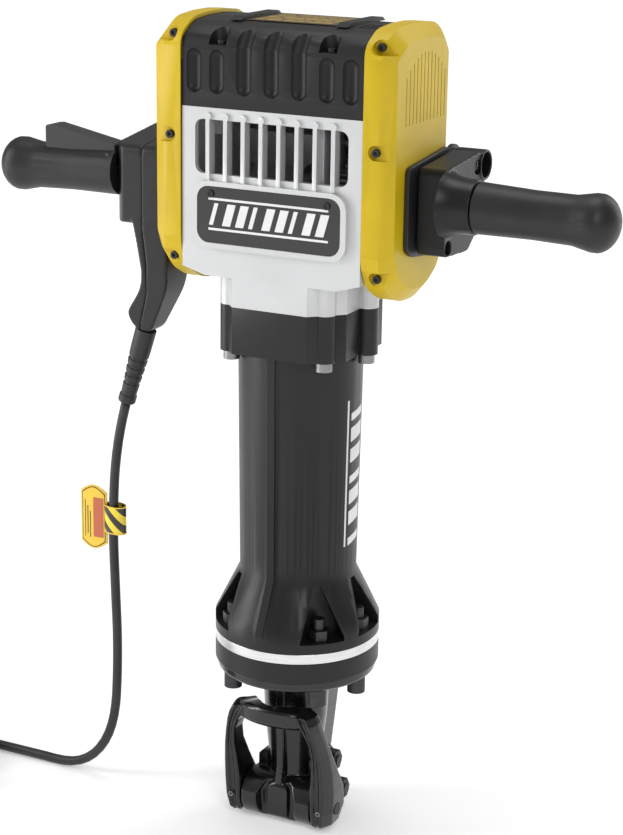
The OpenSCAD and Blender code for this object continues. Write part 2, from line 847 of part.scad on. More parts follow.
module brush_holders() color([0.75, 0.62, 0.3]) front_and_back() brush_holder();

module carbon_brushes() color([0.18, 0.18, 0.18]) front_and_back() {
    box(-59, -51, 16.3, 33, motor_z - 4, motor_z + 4);
}

module bearing_plate() color([0.68, 0.68, 0.7]) difference() {
    along_x(plate_x0, plate_x1) polygon([
        [-62, case_z + case_wall], [44, case_z + case_wall], [44, 730], [34, 786], [-34, 786], [-59, 730],
        [-59, 662], [-62, 656]
    ]);
    rod_x(plate_x0 - 1, plate_x1 + 1, 0, crank_z, crank_bearing[1]);
    for (z = [mid_z, motor_z]) rod_x(plate_x0 - 1, plate_x1 + 1, 0, z, small_bearing[1]);
}

module small_bearings() color([0.6, 0.6, 0.62]) {
    bearing(-88, motor_z, small_bearing);
    bearing(plate_x0, motor_z, small_bearing);
    bearing(plate_x0, mid_z, small_bearing);
    bearing(outer_bearing_x, mid_z, small_bearing);
}

module crank_bearings() color([0.6, 0.6, 0.62]) for (x = [plate_x0, outer_bearing_x]) {
    bearing(x, crank_z, crank_bearing);
}

module control_module() color([0.15, 0.2, 0.3]) difference() {
    box(-118, -case_w / 2, -30, 30, 700, 770);
    for (i = [0 : 5]) box(-119, -112, -26 + 9 * i, -20 + 9 * i, 704, 766);
}

// ---- Tool latch ----

module fork_front() {
    difference() {
        polygon(outline([
            [-61.5, 4.5, 6], [61.5, 4.5, 6], [62, 66, 60], [55, 102, 40], [38, 132, 10], [-38, 132, 10],
            [-55, 102, 40], [-62, 66, 60]
        ]));
        polygon(outline([
            [-39.5, -5, 0], [39.5, -5, 0], [39.5, 78, 30], [29, 116, 12], [-29, 116, 12], [-39.5, 78, 30]
        ]));
    }
}

module fork_side() {
    polygon(outline([
        [-48, 4.5, 16], [-50, 50, 60], [-58, 104, 40], [-66, 118, 6], [-66, 136, 6], [-40, 136, 5],
        [-37, 96, 40], [-12, 50, 20], [-4, 22, 16], [-14, 4.5, 10]
    ]));
}

module latch_fork() color([0.06, 0.06, 0.07]) difference() {
    intersection() {
        along_y(-70, 0) fork_front();
        along_x(-70, 70) fork_side();
    }
    rod_x(-70, 70, -pivot_y, pivot_z, pivot_r);
    both_sides() rod_y(50, -60, 0, pivot_z, 2.5);
    rod_z(0, 0, 100, 140, 44);
}

module latch_pin() color([0.1, 0.1, 0.11]) difference() {
    rod_x(-61.8, 61.8, -pivot_y, pivot_z, pivot_r);
    both_sides() rod_y(50, -60, 0, pivot_z, 2.5);
}

module roll_pins() color([0.3, 0.3, 0.31]) both_sides() difference() {
    rod_y(50, -48, -8, pivot_z, 2.5);
    rod_y(50, -49, -7, pivot_z, 1.3);
}

// ---- Handles ----

// Hollow behind a handle block, for the spring and the base plate's lug
module spring_room(x1) {
    box(block_x0 - 1, x1, -17, 17, 624, roof_z);
}

module pivot_boss(x1) {
    rod_x(block_x0, x1, tube_y, tube_z, tube_r + 2.6);
}

module corner_screw_places() {
    for (p = [[-21, 678], [-21, 614], [44, 680], [42, 626]]) translate([0, p[0], p[1]]) children();
}

module right_block() color([0.08, 0.08, 0.09]) difference() {
    union() {
        along_x(block_x0, block_x1) polygon(outline(block_corners));
        translate([block_x1, -grip_y, grip_z]) rotate([0, 90, 0]) cylinder(r1 = 28.5, r2 = 26, h = 6);
        rod_x(block_x1, 190, -grip_y, grip_z, 25.5);
        pivot_boss(163);
    }
    spring_room(block_x1 - 3);
    rod_x(block_x0 - 1, 164, tube_y, tube_z, tube_r);
    corner_screw_places() rod_x(151, block_x1 + 1, 0, 0, 7);
    corner_screw_places() rod_x(block_x0 - 1, 152, 0, 0, 3.1);
}

// Grip turned about its axis, from its root at x0 to its round tip
module grip(x0) {
    root = x0 + 0.6;
    length = grip_tip - root;
    knob_r = grip_r + 4;
    knob_len = 21;
    translate([root, -grip_y, grip_z]) rotate([0, 90 + grip_droop, 0]) rotate_extrude() polygon(concat(
        [[0, 0], [grip_r + 1, 0], [grip_r - 0.5, length * 0.4]],
        [[grip_r, length - 42], [knob_r - 0.3, length - knob_len - 3]],
        [for (a = [10 : 10 : 90]) [knob_r * cos(a), length - knob_len + knob_len * sin(a)]]
    ));
}

module right_grip() color([0.1, 0.1, 0.11]) grip(190);

module cross_tube() color([0.5, 0.5, 0.52]) difference() {
    rod_x(-150, 150, tube_y, tube_z, tube_r);
    rod_x(-151, 151, tube_y, tube_z, tube_r - 3);
}

module handle_screw(x, reach) {
    difference() {
        rod_x(x, x + 6, 0, 0, 5);
        translate([x + 2, 0, 0]) rotate([0, 90, 0]) cylinder(r = 2.9, h = 5, $fn = 6);
    }
    rod_x(x - reach, x, 0, 0, 3);
}

module handle_screws() color([0.3, 0.3, 0.31]) {
    corner_screw_places() handle_screw(151, 16);
    mirror([1, 0, 0]) corner_screw_places() handle_screw(176, 40);
}

// Front outline of the cable leg, and the line that splits it between the two case halves
leg_corners = [
    [-167, 612, 0], [-134, 612, 0], [-134, 602, 6], [-127, 582, 20], [-127, 545, 60], [-146, 499, 12],
    [-160, 499, 6], [-174, 517, 12], [-154, 548, 40], [-162, 590, 60]
];
leg_side = [
    [-42, 612, 0], [-43, 560, 80], [-43, 499, 8], [-18, 497, 10], [-4, 540, 60], [6, 580, 40], [34, 603, 8],
    [34, 612, 0]
];
leg_split = [[-seam_x, 620], [-seam_x, 602], [-151, 570], [-150, 540], [-158, 505], [-164, 480]];

module leg() {
    intersection() {
        along_y(-50, 40) polygon(outline(leg_corners));
        along_x(-190, -110) polygon(outline(leg_side));
    }
}

module leg_half(side_x) {
    intersection() {
        leg();
        along_y(-60, 60) polygon(concat(leg_split, [[side_x, 480], [side_x, 620]]));
    }
}

module switch_case_inner() color([0.11, 0.11, 0.12]) difference() {
    union() {
        mirror([1, 0, 0]) along_x(block_x0, seam_x) polygon(outline(switch_corners));
        leg_half(-110);
        mirror([1, 0, 0]) pivot_boss(seam_x);
    }
    relief_socket();
    mirror([1, 0, 0]) {
        spring_room(seam_x + 1);
        rod_x(block_x0 - 1, 164, tube_y, tube_z, tube_r);
        corner_screw_places() rod_x(block_x0 - 1, seam_x + 1, 0, 0, 3.1);
    }
}

module switch_case_outer() color([0.12, 0.12, 0.13]) difference() {
    union() {
        mirror([1, 0, 0]) along_x(seam_x, case_x1) polygon(outline(switch_corners));
        leg_half(-210);
    }
    relief_socket();
    translate([0, 0, 600]) linear_extrude(100) polygon([
        [-case_x1 + 11, -43], [-case_x1 - 1, -43], [-case_x1 - 1, -29]
    ]);
    mirror([1, 0, 0]) {
        box(seam_x - 1, case_x1 - 4, -26, 26, 622, 676);
        corner_screw_places() rod_x(176, case_x1 + 1, 0, 0, 7);
        corner_screw_places() rod_x(seam_x - 1, 177, 0, 0, 3.1);
    }
}

module left_grip() color([0.1, 0.1, 0.11]) difference() {
    slot = trigger_w / 2 + 1;
    mirror([1, 0, 0]) grip(case_x1);
    translate([0, -grip_y, 0]) box(-trigger_x[1] - 1.5, -case_x1 + 1, -slot, slot, 660, 700);
    rod_y(-trigger_x[0], -grip_y - 18, -grip_y + 18, trigger_hinge_z, 2);
}

module switch_body() color([0.16, 0.16, 0.17]) mirror([1, 0, 0]) difference() {
    box(seam_x, case_x1 - 4, -20, 20, 626, 672);
    box(seam_x + 3, case_x1 - 9, -16, 16, 625, 636);
}

// Coil spring between the base plate's lug and the roof of the block
module suspension_spring() {
    turns = 4;
    wire = 1.6;
    z0 = lug_z + 4 + wire;
    z1 = roof_z - wire;
    steps = 10 * turns;
    path = [
        for (i = [0 : steps])
            let (a = 360 * turns * i / steps)
            [spring_x + 9 * cos(a), 9 * sin(a), z0 + (z1 - z0) * i / steps]
    ];
    points = [
        for (i = [0 : steps])
            let (a = 360 * turns * i / steps)
            for (k = [0 : 7])
                path[i] + wire * ([cos(a), sin(a), 0] * cos(45 * k) + [0, 0, 1] * sin(45 * k))
    ];
    polyhedron(points, tube_faces(steps + 1, 8));
}

module suspension_springs() color([0.7, 0.7, 0.72]) both_sides() suspension_spring();

module trigger() color([0.09, 0.09, 0.1]) difference() {
    along_y(-grip_y - trigger_w / 2, -grip_y + trigger_w / 2) polygon(outline([
        [-trigger_x[1], 671, 1], [-trigger_x[0] + 5, 667, 3], [-trigger_x[0] + 5, 682, 3],
        [-trigger_x[1] + 8, 696, 3], [-trigger_x[1], 695, 3]
    ]));
    rod_y(-trigger_x[0], -60, 60, trigger_hinge_z, 2.05);
}

module trigger_pin() color([0.6, 0.6, 0.62]) {
    rod_y(-trigger_x[0], -grip_y - 17, -grip_y + 17, trigger_hinge_z, 2);
}

// ---- Cord ----

// Tapered rubber sleeve from the leg to the start of the cord
relief_top = [-158, cord_y, 500];
relief_end = [cord_route[0][0], cord_y, cord_route[0][1]];

module along_relief() {
    axis = relief_end - relief_top;
    translate(relief_top) rotate([0, 180 + atan2(-axis[0], -axis[2]), 0]) children();
}

// Seat of the sleeve in the foot of the leg
module relief_socket() {
    along_relief() translate([0, 0, -0.3]) cylinder(r = 11.2, h = 30);
}

module strain_relief() color([0.08, 0.08, 0.09]) {
    reach = norm(relief_end - relief_top) - 0.5;
    along_relief() rotate_extrude() polygon([
        [0, 0], [11, 0], [10.5, 20], [8, reach - 8], [9, reach - 7], [9, reach - 1], [8, reach], [0, reach]
    ]);
}

module cord() color([0.1, 0.1, 0.1]) tube([for (p = cord_route) [p[0], cord_y, p[1]]], cord_d / 2, 10);

module cord_coil() color([0.1, 0.1, 0.1]) translate([coil_x, coil_y, tie_t]) rotate_extrude() {
    translate([coil_d / 2, 0]) polygon(rounded_rect(-coil_w / 2, 0, coil_w / 2, coil_h, cord_d / 2));
}

module cord_tie() color([0.05, 0.05, 0.05]) translate([coil_x - coil_d / 2, coil_y, 0]) difference() {
    box(-coil_w / 2 - 1.5, coil_w / 2 + 2, -6, 6, 0, coil_h + 2 * tie_t);
    box(-coil_w / 2 - 0.2, coil_w / 2 + 0.7, -7, 7, tie_t, coil_h + tie_t);
}

// The plug lies on the coil, its tail where the innermost turn ends
module plug() color([0.09, 0.09, 0.1]) translate([coil_x + 38, coil_y - 40, tie_t + coil_h + plug_r]) {
    rotate([0, 90, 0]) rotate_extrude() polygon([
        [0, -38], [5.5, -38], [8, -14], [plug_r, -8], [plug_r, 16], [plug_r - 2, 18], [0, 18]
    ]);
    for (y = [-9.5, 9.5]) rod_x(18, 37, y, 0, 2.4);
}

// Plain flag label with its loose band round the cord
module cord_tag() color([0.9, 0.7, 0.1]) {
    band_x = -196.5;
    band_r = 12.5;
    difference() {
        rod_z(band_x, cord_y, 279, 309, band_r);
        rod_z(band_x, cord_y, 278, 310, band_r - 1.2);
    }
    along_y(cord_y - 1, cord_y + 1) polygon(rounded_rect(-237, 258, band_x - band_r + 3, 327, 9));
}

crankcase();
top_cover();
top_label();
left_cover();
right_cover();
cover_screws();
badge_plate();
badge_screws();
base_plates();
barrel();
barrel_bolts();
barrel_band();
damper_ring();
nose();
nose_bolts();
nose_nuts();
cross_bolts();
tool_bushing();
beat_sleeve();
shock_ring();
cylinder_tube();
motor_stator();
brush_holders();
carbon_brushes();
bearing_plate();
small_bearings();
crank_bearings();
control_module();
armature();
commutator();
fan();
intermediate_gear();
crankshaft();
crank_gear();
connecting_rod();
crank_pin();
piston();
wrist_pin();
striker();
beat_piece();
latch_fork();
latch_pin();
roll_pins();
right_block();
right_grip();
cross_tube();
handle_screws();
switch_case_inner();
switch_case_outer();
left_grip();
switch_body();
suspension_springs();
trigger();
trigger_pin();
strain_relief();
cord();
cord_coil();
plug();
cord_tie();
cord_tag();
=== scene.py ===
"""Visual model of the electric demolition hammer: castings, grips, latch, cord, tag and materials."""

import json
import math

import bmesh
import bpy
from mathutils import Matrix, Vector
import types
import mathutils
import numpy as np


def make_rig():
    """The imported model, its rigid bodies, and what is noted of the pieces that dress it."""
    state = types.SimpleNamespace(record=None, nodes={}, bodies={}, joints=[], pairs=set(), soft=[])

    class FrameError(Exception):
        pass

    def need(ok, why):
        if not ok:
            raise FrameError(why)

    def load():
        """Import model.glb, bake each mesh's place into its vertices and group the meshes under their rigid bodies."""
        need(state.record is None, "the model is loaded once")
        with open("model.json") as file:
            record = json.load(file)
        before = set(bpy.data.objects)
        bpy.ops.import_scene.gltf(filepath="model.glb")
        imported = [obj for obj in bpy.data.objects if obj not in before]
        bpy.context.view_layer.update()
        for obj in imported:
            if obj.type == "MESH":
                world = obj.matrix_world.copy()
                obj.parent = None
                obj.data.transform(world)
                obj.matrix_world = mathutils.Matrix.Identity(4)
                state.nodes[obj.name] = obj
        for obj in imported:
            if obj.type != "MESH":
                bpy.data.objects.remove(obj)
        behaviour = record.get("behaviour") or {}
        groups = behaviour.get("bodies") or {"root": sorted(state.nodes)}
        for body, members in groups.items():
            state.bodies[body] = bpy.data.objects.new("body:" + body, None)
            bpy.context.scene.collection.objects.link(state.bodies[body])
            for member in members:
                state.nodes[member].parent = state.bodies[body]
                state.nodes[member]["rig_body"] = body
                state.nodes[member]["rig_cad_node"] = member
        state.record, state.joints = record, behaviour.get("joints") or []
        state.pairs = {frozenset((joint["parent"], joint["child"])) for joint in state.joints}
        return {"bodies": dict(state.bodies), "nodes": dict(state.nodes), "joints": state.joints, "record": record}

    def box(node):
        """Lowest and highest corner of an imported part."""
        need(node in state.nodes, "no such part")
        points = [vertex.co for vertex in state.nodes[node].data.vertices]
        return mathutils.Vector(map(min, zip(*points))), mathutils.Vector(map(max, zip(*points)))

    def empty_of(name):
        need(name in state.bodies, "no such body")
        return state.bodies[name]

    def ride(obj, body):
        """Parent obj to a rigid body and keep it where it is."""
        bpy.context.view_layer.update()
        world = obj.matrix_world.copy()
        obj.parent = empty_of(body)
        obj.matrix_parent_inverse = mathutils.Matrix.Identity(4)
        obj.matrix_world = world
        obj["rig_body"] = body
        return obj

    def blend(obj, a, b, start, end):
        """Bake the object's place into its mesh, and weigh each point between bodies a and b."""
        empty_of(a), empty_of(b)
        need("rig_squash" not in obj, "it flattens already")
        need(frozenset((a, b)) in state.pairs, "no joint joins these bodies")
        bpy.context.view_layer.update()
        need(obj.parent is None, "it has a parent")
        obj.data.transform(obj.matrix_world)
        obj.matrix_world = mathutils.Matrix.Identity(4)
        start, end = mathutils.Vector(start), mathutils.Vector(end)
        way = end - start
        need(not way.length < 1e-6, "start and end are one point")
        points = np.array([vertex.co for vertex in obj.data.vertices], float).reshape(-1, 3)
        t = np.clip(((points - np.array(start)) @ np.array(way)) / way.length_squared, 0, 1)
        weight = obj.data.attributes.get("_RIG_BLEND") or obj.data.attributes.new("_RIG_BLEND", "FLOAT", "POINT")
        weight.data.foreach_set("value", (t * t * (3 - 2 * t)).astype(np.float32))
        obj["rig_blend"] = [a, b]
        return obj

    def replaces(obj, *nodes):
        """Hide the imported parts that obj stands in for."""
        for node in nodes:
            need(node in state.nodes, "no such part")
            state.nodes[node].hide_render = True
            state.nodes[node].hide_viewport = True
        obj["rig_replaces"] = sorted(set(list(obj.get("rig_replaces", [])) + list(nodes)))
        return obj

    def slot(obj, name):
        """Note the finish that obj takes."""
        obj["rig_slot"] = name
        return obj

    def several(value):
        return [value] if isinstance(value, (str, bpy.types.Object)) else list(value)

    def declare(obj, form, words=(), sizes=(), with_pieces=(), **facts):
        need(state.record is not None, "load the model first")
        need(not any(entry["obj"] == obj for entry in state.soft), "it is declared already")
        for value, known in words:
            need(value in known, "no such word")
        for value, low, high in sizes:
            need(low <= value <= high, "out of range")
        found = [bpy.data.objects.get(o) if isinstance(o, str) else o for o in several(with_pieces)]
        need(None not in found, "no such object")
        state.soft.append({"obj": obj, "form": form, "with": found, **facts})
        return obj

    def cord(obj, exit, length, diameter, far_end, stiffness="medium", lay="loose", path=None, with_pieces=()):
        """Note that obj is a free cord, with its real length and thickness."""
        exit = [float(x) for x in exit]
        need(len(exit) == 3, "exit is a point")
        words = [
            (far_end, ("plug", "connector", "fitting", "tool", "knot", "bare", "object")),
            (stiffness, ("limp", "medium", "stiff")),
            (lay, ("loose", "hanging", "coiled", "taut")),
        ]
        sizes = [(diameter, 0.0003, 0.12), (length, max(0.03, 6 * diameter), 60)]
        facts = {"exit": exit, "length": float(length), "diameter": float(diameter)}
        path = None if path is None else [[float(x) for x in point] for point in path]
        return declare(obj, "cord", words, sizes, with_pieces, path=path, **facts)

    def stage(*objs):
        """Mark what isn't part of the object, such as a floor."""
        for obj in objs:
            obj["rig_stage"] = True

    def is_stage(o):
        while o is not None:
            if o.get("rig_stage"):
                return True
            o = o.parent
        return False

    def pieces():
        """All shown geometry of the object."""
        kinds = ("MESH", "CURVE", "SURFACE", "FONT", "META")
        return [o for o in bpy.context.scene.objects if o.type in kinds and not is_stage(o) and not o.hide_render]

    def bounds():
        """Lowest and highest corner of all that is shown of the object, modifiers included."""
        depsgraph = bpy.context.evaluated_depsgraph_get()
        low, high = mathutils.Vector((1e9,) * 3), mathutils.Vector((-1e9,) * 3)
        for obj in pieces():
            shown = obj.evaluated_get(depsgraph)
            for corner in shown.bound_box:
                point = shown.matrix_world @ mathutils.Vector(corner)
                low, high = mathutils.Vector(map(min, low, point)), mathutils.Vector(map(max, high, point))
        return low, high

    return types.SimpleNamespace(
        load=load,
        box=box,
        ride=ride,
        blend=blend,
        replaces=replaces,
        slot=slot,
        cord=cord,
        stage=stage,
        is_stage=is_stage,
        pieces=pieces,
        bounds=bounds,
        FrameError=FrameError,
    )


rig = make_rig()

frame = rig.load()
cad_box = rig.bounds()

MM = 0.001
TURN = 2 * math.pi

# ---- Camera ----

# Angles in degrees, lens in millimetres, the rest in metres
CAMERA = {
    "azimuth": 26.61,
    "elevation": 16.29,
    "roll": 0.87,
    "distance": 2.1172,
    "lens": 92.55,
    "aim_height": 0.4234,
    "aim_side": 0.0112,
}


def make_camera():
    """The camera stands in front, to the right and above, turned slightly about its own axis."""
    azimuth, elevation, roll = (math.radians(CAMERA[k]) for k in ("azimuth", "elevation", "roll"))
    back = Vector((
        math.sin(azimuth) * math.cos(elevation),
        -math.cos(azimuth) * math.cos(elevation),
        math.sin(elevation),
    ))
    side = (-back).cross(Vector((0, 0, 1))).normalized()
    up = side.cross(-back)
    x_axis = side * math.cos(roll) + up * math.sin(roll)
    y_axis = up * math.cos(roll) - side * math.sin(roll)
    target = Vector((0, 0, CAMERA["aim_height"])) + side * CAMERA["aim_side"]
    camera = bpy.data.objects.new("camera", bpy.data.cameras.new("camera"))
    bpy.context.collection.objects.link(camera)
    camera.data.lens = CAMERA["lens"]
    camera.data.sensor_width = 36
    camera.data.clip_end = 50
    turned = Matrix((x_axis, y_axis, back)).transposed().to_4x4()
    camera.matrix_world = Matrix.Translation(target + back * CAMERA["distance"]) @ turned
    bpy.context.scene.camera = camera


make_camera()

# ---- Materials ----


# Colour sockets of the Mix node: the two inputs and the output
MIX_A, MIX_B, MIX_OUT = 6, 7, 2


class Finish:
    """A Principled material whose colour, roughness and relief come from nodes in the object's own space."""

    def __init__(self, name, color, rough, metallic=0.0, specular=0.5, coat=0.0, coat_rough=0.1):
        self.material = bpy.data.materials.new(name)
        self.material.use_nodes = True
        self.nodes = self.material.node_tree.nodes
        self.links = self.material.node_tree.links
        self.shader = self.nodes["Principled BSDF"]
        self.place = self.nodes.new("ShaderNodeTexCoord").outputs["Object"]
        self.shader.inputs["Metallic"].default_value = metallic
        self.shader.inputs["Specular IOR Level"].default_value = specular
        self.shader.inputs["Coat Weight"].default_value = coat
        self.shader.inputs["Coat Roughness"].default_value = coat_rough
        self.color = self.rgb(color)
        self.rough = self.value(rough)
        self.height = None

    def rgb(self, color):
        node = self.nodes.new("ShaderNodeRGB")
        node.outputs[0].default_value = (*color, 1)
        return node.outputs[0]

    def value(self, number):
        node = self.nodes.new("ShaderNodeValue")
        node.outputs[0].default_value = number
        return node.outputs[0]

    def math(self, operation, a, b=0.0, c=0.0):
        node = self.nodes.new("ShaderNodeMath")
        node.operation = operation
        for socket, source in zip(node.inputs, (a, b, c)):
            if isinstance(source, (int, float)):
                socket.default_value = source
            else:
                self.links.new(source, socket)
        return node.outputs[0]

    def stretched(self, stretch):
        node = self.nodes.new("ShaderNodeMapping")
        node.inputs["Scale"].default_value = stretch
        self.links.new(self.place, node.inputs["Vector"])
        return node.outputs[0]

    def noise(self, scale, detail=4.0, roughness=0.55, stretch=None):
        node = self.nodes.new("ShaderNodeTexNoise")
        node.inputs["Scale"].default_value = scale
        node.inputs["Detail"].default_value = detail
        node.inputs["Roughness"].default_value = roughness
        self.links.new(self.stretched(stretch) if stretch else self.place, node.inputs["Vector"])
        return node.outputs["Fac"]

    def span(self, source, low, high, to_low=0.0, to_high=1.0):
        node = self.nodes.new("ShaderNodeMapRange")
        node.interpolation_type = "SMOOTHSTEP"
        limits = {"From Min": low, "From Max": high, "To Min": to_low, "To Max": to_high}
        for socket, number in limits.items():
            node.inputs[socket].default_value = number
        self.links.new(source, node.inputs["Value"])
        return node.outputs["Result"]

    def tint(self, factor, color):
        """Mixes another colour in by factor."""
        node = self.nodes.new("ShaderNodeMix")
        node.data_type = "RGBA"
        self.links.new(factor, node.inputs["Factor"])
        self.links.new(self.color, node.inputs[MIX_A])
        self.links.new(self.rgb(color), node.inputs[MIX_B])
        self.color = node.outputs[MIX_OUT]
        return self

    def roughen(self, factor, amount):
        self.rough = self.math("MULTIPLY_ADD", factor, amount, self.rough)
        return self

    def raise_by(self, factor, depth):
        """Adds relief of that depth, in metres."""
        self.height = self.math("MULTIPLY_ADD", factor, depth, self.height or 0.0)
        return self

    def worn_edges(self, color, amount):
        """Mixes another colour in along broken stretches of the sharp edges."""
        geometry = self.nodes.new("ShaderNodeNewGeometry")
        edge = self.span(geometry.outputs["Pointiness"], 0.53, 0.62)
        broken = self.span(self.noise(240, 3), 0.45, 0.62)
        return self.tint(self.math("MULTIPLY", self.math("MULTIPLY", edge, broken), amount), color)

    def done(self):
        self.links.new(self.color, self.shader.inputs["Base Color"])
        self.links.new(self.rough, self.shader.inputs["Roughness"])
        if self.height is not None:
            bump = self.nodes.new("ShaderNodeBump")
            bump.inputs["Distance"].default_value = 1.0
            bump.inputs["Strength"].default_value = 0.9
            self.links.new(self.height, bump.inputs["Height"])
            self.links.new(bump.outputs["Normal"], self.shader.inputs["Normal"])
        return self.material


def shade(color, factor):
    return tuple(min(1.0, c * factor) for c in color)


def moulded(name, color, rough=0.42, grain=900, depth=0.00003, **more):
    """Injection moulded plastic with a fine spark-eroded grain."""
    f = Finish(name, color, rough, **more)
    f.tint(f.span(f.noise(14), 0.35, 0.7), shade(color, 0.9))
    f.roughen(f.noise(60), 0.1)
    f.raise_by(f.noise(grain, 2), depth)
    return f.done()


def powder_coat(name, color, rough=0.4, **more):
    """Powder coat over a casting: orange peel, faint dust and rubbed edges."""
    f = Finish(name, color, rough, **more)
    f.tint(f.span(f.noise(9), 0.4, 0.75), shade(color, 1.25))
    f.tint(f.span(f.noise(700, 2), 0.6, 0.8, 0, 0.3), shade(color, 2.0))
    f.roughen(f.noise(40), 0.12)
    f.raise_by(f.noise(420, 3), 0.00005)
    f.raise_by(f.noise(35, 3), 0.00012)
    f.worn_edges(shade(color, 3.0), 0.35)
    return f.done()


def gloss_cast(name, color):
    """Thick gloss paint on a rough forging."""
    f = Finish(name, color, 0.2, specular=0.4, coat=0.35, coat_rough=0.06)
    f.tint(f.span(f.noise(30), 0.45, 0.75), shade(color, 1.5))
    f.roughen(f.noise(90), 0.1)
    f.raise_by(f.noise(60, 4), 0.00012)
    f.raise_by(f.noise(320, 3), 0.00004)
    f.worn_edges((0.05, 0.05, 0.05), 0.3)
    return f.done()


def painted_casting(name, color):
    """Silver lacquer on die-cast aluminium."""
    f = Finish(name, color, 0.38, metallic=0.45, specular=0.5, coat=0.2, coat_rough=0.25)
    f.tint(f.span(f.noise(11), 0.35, 0.7), shade(color, 0.94))
    f.tint(f.span(f.noise(1400, 2), 0.55, 0.75, 0, 0.3), shade(color, 1.25))
    f.roughen(f.noise(80), 0.12)
    f.raise_by(f.noise(500, 3), 0.00005)
    f.raise_by(f.noise(45, 3), 0.00018)
    return f.done()


def metal(name, color, rough=0.3, stretch=(1, 1, 40), scale=60):
    """Turned or ground metal, with its tool marks along one direction."""
    f = Finish(name, color, rough, metallic=1.0)
    marks = f.noise(scale, 5, 0.6, stretch)
    f.tint(f.span(marks, 0.35, 0.7), shade(color, 0.8))
    f.roughen(marks, 0.18)
    f.raise_by(marks, 0.00003)
    f.raise_by(f.noise(200, 3), 0.00002)
    return f.done()


def rubber(name, color, rough=0.5):
    """Satin rubber with a fine grain and a little handling sheen."""
    f = Finish(name, color, rough, specular=0.45)
    f.tint(f.span(f.noise(22), 0.4, 0.75), shade(color, 1.5))
    f.roughen(f.noise(50), 0.16)
    f.raise_by(f.noise(1100, 2), 0.00004)
    f.raise_by(f.noise(90, 3), 0.0001)
    return f.done()


def bands(name, color, other, rough, axis, per_metre):
    """Stacked laminations or copper bars: two colours in fine bands along one axis."""
    f = Finish(name, color, rough, metallic=1.0)
    wave = f.nodes.new("ShaderNodeTexWave")
    wave.bands_direction = axis
    wave.inputs["Scale"].default_value = per_metre / 20 * math.pi
    wave.inputs["Distortion"].default_value = 0.0
    f.links.new(f.place, wave.inputs["Vector"])
    f.tint(f.span(wave.outputs["Fac"], 0.55, 0.75), other)
    f.roughen(f.noise(120), 0.15)
    f.raise_by(wave.outputs["Fac"], 0.00005)
    return f.done()


def hazard(name, light, dark, pitch):
    """Slanting warning stripes."""
    f = Finish(name, light, 0.35, specular=0.5, coat=0.2)
    parts = f.nodes.new("ShaderNodeSeparateXYZ")
    f.links.new(f.place, parts.inputs[0])
    slant = f.math("ADD", parts.outputs["X"], parts.outputs["Z"])
    wave = f.math("SINE", f.math("MULTIPLY", slant, TURN / pitch))
    f.tint(f.span(wave, -0.06, 0.06), dark)
    f.tint(f.span(f.noise(50), 0.5, 0.8, 0, 0.3), shade(light, 0.6))
    f.raise_by(f.noise(300), 0.00003)
    return f.done()


